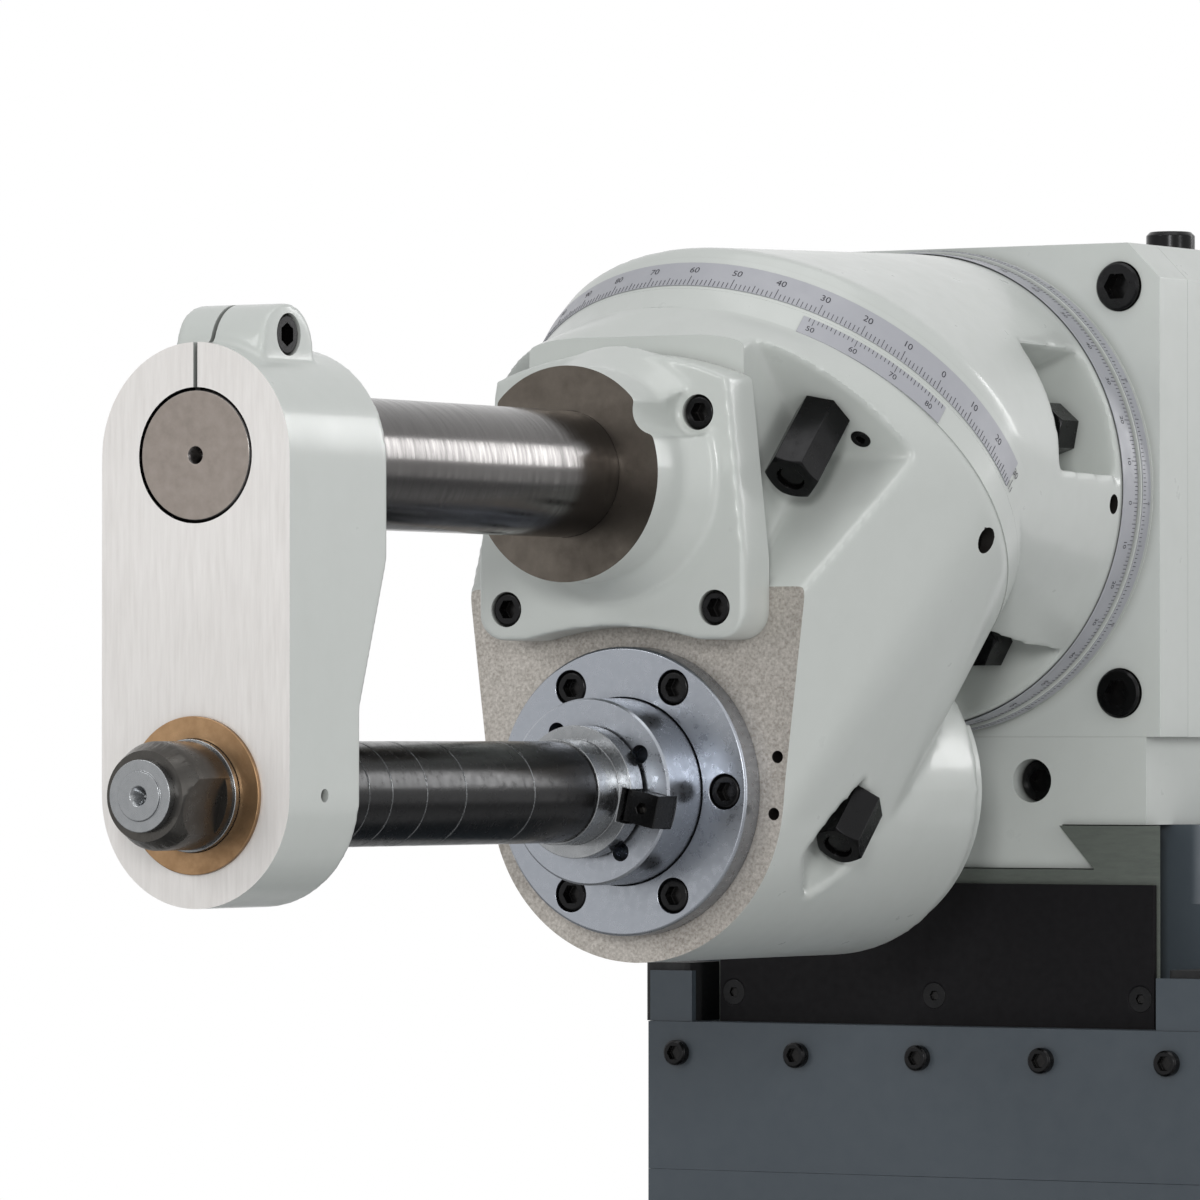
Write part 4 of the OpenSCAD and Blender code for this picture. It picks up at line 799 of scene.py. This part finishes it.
# %% [markdown]
# ## The front head: pockets
# Four clamp nuts hold the head on the joint, and a spanner must reach each of them. Two deep open
# pockets make room for the upper nuts and two small ones for the lower nuts, whose seats lie
# further out along the joint's axis. A frame at each stud, turned round the joint's axis, lets one
# line cut each pocket.

# %% Pockets of the head
FLOOR_T = 0.036
LOW_SEAT = 0.142
STUD_R = 0.0064
UPPER_STUDS = (45, 135)
LOWER_STUDS = (225, 315)


def clamp_frame(angle, t, r=0.110):
    """A frame at a clamp stud of the slanted joint, at distance t along the joint's axis."""
    return SLANT @ Matrix.Rotation(math.radians(angle), 4, "Z") @ Matrix.Translation((r, 0, t))


def on_joint(x, y, t):
    """A frame on the slanted joint, at distance t along its axis."""
    return SLANT @ Matrix.Translation((x, y, t))


head_pockets = (
    [shell_box((0.120, 0.120, 0.150), on_joint(side * 0.120, 0.111, FLOOR_T + 0.075)) for side in (-1, 1)]
    + [shell_cylinder(0.018, 0, 0.052, clamp_frame(a, LOW_SEAT)) for a in LOWER_STUDS]
    + [
        shell_box((0.040, 0.034, 0.052), on_joint(side * 0.1088, -0.0778, LOW_SEAT + 0.026))
        for side in (-1, 1)
    ]
)
print("head's pockets:", len(head_pockets), "shells")

# %% [markdown]
# ## The front head: casting
# The front is ground flat for the bracket and the ring flange. Inside are the spindle's room, the
# gears' room and the cone below it, and the bar can pass through at the top. The joint's ring is
# united after the rounding, so its rim stays sharp, and it stops a hair short of the joint's plane,
# where the two castings slide on each other.

# %% Cast the head
JOINT_SLIP = 0.00003
GEAR_ROOM_R = 0.066
SHAFT_ROOM_R = 0.052
SMALL_HOLES = ((0.0765, -0.1605), (0.0785, -0.1335))
SMALL_R = 0.003
RIM_HOLE = clamp_frame(-7, 0.026, 0.114) @ ACROSS
RIM_HOLE_R = 0.0064

head = cast(
    "head_casting", "front_head", "head_housing", head_shells,
    voxel=2.0, rounds=9,
    pockets=head_pockets,
    unite=[shell_cylinder(JOINT_R, JOINT_SLIP, 0.0132, SLANT, segments=160)],
    machine=[
        shell_box((0.5, 0.05, 0.5), Matrix.Translation((0, FACE_Y - 0.025, RAM_Z - 0.1))),
        shell_cylinder(SHAFT_ROOM_R, -0.01, 0.3, front(0, CAP_Y, SPINDLE_Z)),
        shell_cylinder(GEAR_ROOM_R, -0.02, 0.045, SLANT),
        shell_cylinder(SHAFT_ROOM_R, 0.02, 0.118, SLANT),
        shell_cylinder(SHAFT_ROOM_R, 0.117, 0.130, SLANT, top=0.040),
        shell_cylinder(BAR_R + 0.0001, 0, 0.06, front(0, JOINT_Y - 0.112, RAM_Z)),
        # seat of the plug and the hole in the rim
        shell_cylinder(0.0051, -0.008, 0.02, on_joint(0.092, 0.062, FLOOR_T), segments=32),
        shell_cylinder(RIM_HOLE_R, 0, 0.03, RIM_HOLE, segments=32),
    ]
    + [
        shell_cylinder(SMALL_R, 0, 0.02, front(x, FACE_Y + 0.010, RAM_Z + z), segments=24)
        for x, z in SMALL_HOLES
    ]
    + [shell_cylinder(STUD_R, -0.05, 0.001, clamp_frame(a, FLOOR_T), segments=32) for a in UPPER_STUDS]
    + [shell_cylinder(STUD_R, -0.15, 0.001, clamp_frame(a, LOW_SEAT), segments=32) for a in LOWER_STUDS]
    + [
        shell_cylinder(BOLT_CORE_R, -0.026, 0.01, front(x, FACE_Y, RAM_Z + z), segments=24)
        for x, z in BRACKET_BOLTS
    ],
)

# %% [markdown]
# ## The front head: ground face and drilled holes
# Only the lower part of the front is bare ground iron; above it, behind the bracket, the face is
# painted. It is one flat face, so it is first split at that height. The walls of the small holes
# get a nearly black finish, which is painted shade, so they look dark even in soft light.

# %% Bare faces of the head
PAD_TOP = RAM_Z - 0.046


def split_face(o, z, chosen):
    """Splits the faces that chosen(centre, normal) picks at a height, so a finish can end there."""
    bm = bmesh.new()
    bm.from_mesh(o.data)
    faces = [f for f in bm.faces if chosen(f.calc_center_median(), f.normal)]
    edges = {e for f in faces for e in f.edges}
    verts = {v for f in faces for v in f.verts}
    bmesh.ops.bisect_plane(
        bm, geom=list(verts) + list(edges) + faces, dist=1e-6, plane_co=(0, 0, z), plane_no=(0, 0, 1)
    )
    bm.to_mesh(o.data)
    bm.free()


def on_ground_face(c, n):
    """True on the head's flat front."""
    return n.y < -0.99 and c.y < FACE_Y + 0.0003


def in_hole(matrix, radius, z0, z1):
    """A test for the wall and floor of a hole drilled along the frame's Z."""
    inverse = matrix.inverted()

    def inside(c, n):
        x, y, z = inverse @ c
        return math.hypot(x, y) < radius + 0.0001 and z0 - 0.0001 < z < z1

    return inside


split_face(head, PAD_TOP, on_ground_face)
refinish(head, GROUND_IRON, lambda c, n: on_ground_face(c, n) and c.z < PAD_TOP)
# The dark walls of these holes are painted shade.
shaded_holes = [in_hole(front(x, FACE_Y + 0.010, RAM_Z + z), SMALL_R, 0.0, 0.0099) for x, z in SMALL_HOLES]
shaded_holes.append(in_hole(RIM_HOLE, RIM_HOLE_R, 0.0, 0.03))
refinish(head, HOLE_SHADE, lambda c, n: any(test(c, n) for test in shaded_holes))

# %% [markdown]
# ## The intermediate housing
# This short elbow turns on the ram's front plate and carries the slanted joint, so its two round
# ends lie at 45 degrees to each other. It could be a bent tube along a curve, but a short elbow
# like this would fold on its inner side. The hull of two discs is exactly that elbow. Four open
# seats near the ram leave room for the rear clamp nuts.

# %% Cast the housing
SEAM_Y = -0.280
REAR_R = 0.120
SEAT_ANGLES = (19, -59, 161, 239)
SEAT_FLOOR = 0.020


def seat_frame(angle, y, out=0.0, up=0.0):
    """A frame at a clamp stud of the rear joint, its +X pointing outward."""
    turn = front(0, y, RAM_Z) @ Matrix.Rotation(math.radians(angle), 4, "Z")
    return turn @ Matrix.Translation((out, 0, up))


SIDE_HOLE = seat_frame(-4, SEAM_Y - 0.025) @ ACROSS
SIDE_HOLE_R = 0.0050
mid = cast(
    "mid_casting", "mid_head", "mid_housing",
    [
        shell_hull([
            shell_cylinder(JOINT_R - 0.0005, -0.030, -0.0005, SLANT),
            shell_cylinder(REAR_R - 0.0005, 0, 0.008, front(0, JOINT_Y + 0.142, RAM_Z)),
        ]),
        shell_cylinder(REAR_R - 0.0005, 0.0005, 0.024, front(0, SEAM_Y, RAM_Z)),
    ],
    voxel=2.0, rounds=9,
    pockets=[
        shell_box((0.080, 0.066, 0.070), seat_frame(a, SEAM_Y - SEAT_FLOOR, 0.109, 0.035))
        for a in SEAT_ANGLES
    ],
    unite=[
        shell_cylinder(JOINT_R, -0.022, -JOINT_SLIP, SLANT, segments=160),
        shell_cylinder(REAR_R, 0, 0.011, front(0, SEAM_Y, RAM_Z), segments=160),
    ],
    machine=[
        shell_cylinder(0.060, -0.01, 0.2, front(0, SEAM_Y, RAM_Z)),
        shell_cylinder(GEAR_ROOM_R, -0.06, 0.01, SLANT),
        shell_cylinder(SIDE_HOLE_R, 0.100, 0.13, SIDE_HOLE, segments=32),
    ]
    + [
        shell_cylinder(STUD_R, -0.024, 0.006, seat_frame(a, SEAM_Y - SEAT_FLOOR, 0.089), segments=32)
        for a in SEAT_ANGLES
    ],
)

# %% [markdown]
# ## The ring slot of the slanted joint
# The heads of the joint's four clamp studs travel in a ring slot that is wider below than at its
# mouth, so they can slide round but not come out. A lathe would turn it with a hooked tool. A
# profile with a hook could be spun too, but two plain rings are easier to read: one for the
# mouth and one for the heads, each a small square spun round the joint's axis.


# %% Cut the ring slot
def annulus(inner, outer, z0, z1, matrix):
    """A closed square-section ring."""
    bm = bmesh.new()
    corners = ((inner, z0), (outer, z0), (outer, z1), (inner, z1))
    profile = [bm.verts.new(matrix @ Vector((r, 0, z))) for r, z in corners]
    edges = [bm.edges.new((profile[k], profile[(k + 1) % 4])) for k in range(4)]
    axis = matrix.to_3x3() @ Vector((0, 0, 1))
    bmesh.ops.spin(
        bm, geom=profile + edges, cent=matrix.translation, axis=axis, angle=math.tau, steps=96, use_merge=True
    )
    bmesh.ops.remove_doubles(bm, verts=bm.verts, dist=1e-6)
    bmesh.ops.recalc_face_normals(bm, faces=bm.faces)
    return bm


cut(mid, [annulus(0.103, 0.117, -0.011, 0.001, SLANT), annulus(0.098, 0.122, -0.020, -0.0095, SLANT)])
shade(mid)
# The dark wall of the side hole is painted shade.
refinish(mid, HOLE_SHADE, in_hole(SIDE_HOLE, SIDE_HOLE_R, 0.100, 0.13))

# %% [markdown]
# ## Marks on the scales
# To set the head at an angle, one reads fine lines and numbers on bands round the joints: a
# long line and a number at ten degrees, a middle line at five, a short one at each degree. An
# image could carry them, but it would need unwrapping and would blur when seen close. Here each
# line is a thin box, each number a filled text curve turned into a mesh, and both sit just on
# the band.


# %% Marks tool
def digits_mesh(text, height):
    """A flat mesh of that text, centred on its origin."""
    curve = bpy.data.curves.new("digits", "FONT")
    curve.body = text
    curve.size = height
    curve.align_x = "CENTER"
    curve.align_y = "CENTER"
    holder = bpy.data.objects.new("digits", curve)
    scene.collection.objects.link(holder)
    mesh = bpy.data.meshes.new_from_object(holder.evaluated_get(bpy.context.evaluated_depsgraph_get()))
    bpy.data.objects.remove(holder)
    bpy.data.curves.remove(curve)
    return mesh


def marks(name, body, matrix, radius, side, angles, numbers, zero, tick=0.0035, height=0.0052, gap=0.0022):
    """Lines and numbers round a band. side is +1 or -1: which way along the axis they reach."""
    long, middle, line, depth = 1.75, 1.35, 0.00028, 0.0001
    bm = bmesh.new()
    for a in angles:
        reach = tick * (long if a % 10 == 0 else (middle if a % 5 == 0 else 1.0))
        turn = matrix @ Matrix.Rotation(math.radians(zero + a), 4, "Z")
        place = turn @ Matrix.Translation((radius, 0, side * reach / 2))
        bmesh.ops.create_cube(bm, size=1.0, matrix=place @ Matrix.Diagonal((depth, line, reach, 1.0)))
    for a, text in numbers:
        mesh = digits_mesh(text, height)
        c, s = math.cos(math.radians(zero + a)), math.sin(math.radians(zero + a))
        upright = Matrix(((s, 0, c), (-c, 0, s), (0, -1, 0))).to_4x4()
        centre = Vector((radius * c, radius * s, side * (tick * long + gap + height * 0.36)))
        mesh.transform(matrix @ Matrix.Translation(centre) @ upright)
        bm.from_mesh(mesh)
        bpy.data.meshes.remove(mesh)
    mesh = bpy.data.meshes.new(name)
    bm.to_mesh(mesh)
    bm.free()
    o = bpy.data.objects.new(name, mesh)
    scene.collection.objects.link(o)
    mesh.materials.append(INK)
    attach(o, body)
    print(name, "made:", len(angles), "lines and", len(numbers), "numbers")


def from_zero(first, last, step=10):
    """(angle, number) pairs; the number is the distance from zero."""
    return [(a, str(abs(a))) for a in range(first, last + 1, step)]


print("numbers on the rear band:", [text for _, text in from_zero(-90, 90, 30)])

# %% [markdown]
# ## Four bands of marks
# The slanted joint has a full scale on the intermediate housing and a short strip with the numbers
# 80 to 50 on the head. The rear joint has one on the housing and a finer one on the ram's plate.
# Each set of marks rides on the body of its band, so the two halves of a scale turn against
# each other when the joint moves.

# %% Place the marks
JOINT_ZERO = 26.5
SEAT_ZERO = -3.5
JOINT_BAND_R = JOINT_R + 0.00056
SEAT_BAND_R = REAR_R + 0.00056
RAM_BAND_R = REAR_R + 0.00256
half_turn = [(a, str(min(abs(a), 180 - abs(a)))) for a in range(-30, 151, 10)]
strip = [(a, str(80 - a)) for a in range(0, 31, 10)]

marks(
    "joint_marks", "mid_head", on_joint(0, 0, -0.0022), JOINT_BAND_R, -1, range(-31, 158),
    half_turn, JOINT_ZERO,
)
marks(
    "head_marks", "front_head", on_joint(0, 0, 0.0022), JOINT_BAND_R, 1, range(-3, 32), strip, JOINT_ZERO,
    tick=0.0024, height=0.0044, gap=0.0010,
)
marks(
    "seat_marks", "mid_head", front(0, SEAM_Y - 0.0014, RAM_Z), SEAT_BAND_R, 1, range(-90, 91),
    from_zero(-90, 90), SEAT_ZERO, tick=0.0026, height=0.0044, gap=0.0014,
)
marks(
    "ram_marks", "ram", front(0, SEAM_Y + 0.0014, RAM_Z), RAM_BAND_R, -1, range(-90, 91),
    from_zero(-90, 90, 30), SEAT_ZERO, tick=0.0022, height=0.0026, gap=0.0004,
)

# %% [markdown]
# ## Floor
# The photo shows no floor, but a machine without one seems to float in the other views. A curved
# studio backdrop would also do, yet one large pale square gives the same soft light from below.

# %% Make the floor
floor_mesh = bpy.data.meshes.new("floor")
bm = bmesh.new()
bmesh.ops.create_grid(bm, x_segments=1, y_segments=1, size=6.0)
bm.to_mesh(floor_mesh)
bm.free()
floor = bpy.data.objects.new("floor", floor_mesh)
scene.collection.objects.link(floor)
floor_paint = bpy.data.materials.new("floor_paint")
floor_paint.use_nodes = True
floor_shader = floor_paint.node_tree.nodes["Principled BSDF"]
floor_shader.inputs["Base Color"].default_value = (0.86, 0.86, 0.86, 1)
floor_shader.inputs["Roughness"].default_value = 0.7
floor_mesh.materials.append(floor_paint)
print("floor made:", round(floor.dimensions.x, 1), "m wide")

# %% [markdown]
# ## Background
# The photo's background is pure white, but a white sky as bright as that would wash out every
# shadow. The light path node tells rays apart: camera and mirror rays see white, and all
# others see a dim, slightly cool grey. So steel mirrors a white room while the shadows stay deep.

# %% Make the background
world = bpy.data.worlds.new("studio")
world.use_nodes = True
scene.world = world
sky = world.node_tree
sky.nodes.clear()
rays = sky.nodes.new("ShaderNodeLightPath").outputs
mirrored = math_node(sky, "ADD", rays["Is Glossy Ray"], rays["Is Transmission Ray"], clamp=True)
seen = math_node(sky, "ADD", rays["Is Camera Ray"], mirrored, clamp=True)
white = node(sky, "ShaderNodeBackground", Color=(1, 1, 1, 1), Strength=1.0)
soft = node(sky, "ShaderNodeBackground", Color=(0.95, 0.97, 1.0, 1), Strength=0.22)
chosen_sky = sky.nodes.new("ShaderNodeMixShader")
for socket, source in zip(chosen_sky.inputs, (seen, soft.outputs[0], white.outputs[0])):
    sky.links.new(source, socket)
sky_out = sky.nodes.new("ShaderNodeOutputWorld")
sky.links.new(chosen_sky.outputs[0], sky_out.inputs["Surface"])
print("background made:", len(sky.nodes), "nodes")

# %% [markdown]
# ## Lamps
# The highlights in the photo show large soft lamps: one from the front right that models the
# rounds, a weaker one from the left, light from above, and little from below. The lamp behind the
# machine gives the top of the bar its bright edge. Area lamps are used, because their size sets
# how soft a shadow is, and each simply looks at the head.


# %% Set the lamps
def lamp(name, place, size, power, target=(0, -0.6, 1.5)):
    """A rectangular area lamp that looks at the target."""
    light = bpy.data.lights.new(name, "AREA")
    light.shape = "RECTANGLE"
    light.size, light.size_y = size
    light.energy = power
    o = bpy.data.objects.new(name, light)
    scene.collection.objects.link(o)
    o.location = place
    o.rotation_euler = (Vector(target) - Vector(place)).to_track_quat("-Z", "Y").to_euler()
    print("lamp", name, "has", power, "W")


lamp("key", (-1.6, -3.8, 3.2), (0.8, 0.8), 17)
lamp("front", (2.2, -4.8, 2.5), (0.6, 0.9), 64)
lamp("top", (0.4, -1.0, 4.4), (2.4, 2.4), 26)
lamp("side", (3.6, -1.2, 2.2), (0.6, 2.0), 21)
lamp("low", (0.5, -4.2, 0.9), (3.0, 1.0), 9)
lamp("back", (2.09, 3.03, 2.76), (0.8, 1.5), 26, target=(0.03, -0.8, 1.65))

# %% [markdown]
# ## Camera
# The picture was taken with a long lens from the front right, level with the over-arm. A camera
# can be set by eye, but then every size judged through it is a guess. Circles on the machine look
# like ellipses, and their shape gives the direction. The spindle nose has a standard size, and
# its size in the picture gives the distance. A fit to seams and circles set the last digits.

# %% Place the camera
SENSOR_MM = 36
LENS_MM = 255
PICTURE_PX = 1200
HORIZON_PX = 140
TURN = math.radians(31.6)
TILT = math.atan2(HORIZON_PX, LENS_MM / SENSOR_MM * PICTURE_PX)
camera_data = bpy.data.cameras.new("camera")
camera_data.sensor_width = SENSOR_MM
camera_data.lens = LENS_MM
camera_data.clip_end = 60
camera = bpy.data.objects.new("camera", camera_data)
scene.collection.objects.link(camera)
camera.location = (2.1139, -4.0337, 1.5245)
level = math.cos(TILT)
ahead = Vector((-math.sin(TURN) * level, math.cos(TURN) * level, math.sin(TILT)))
camera.rotation_euler = ahead.to_track_quat("-Z", "Y").to_euler()
scene.camera = camera
scene.view_settings.view_transform = "Standard"
print("camera at:", [round(v, 3) for v in camera.location])
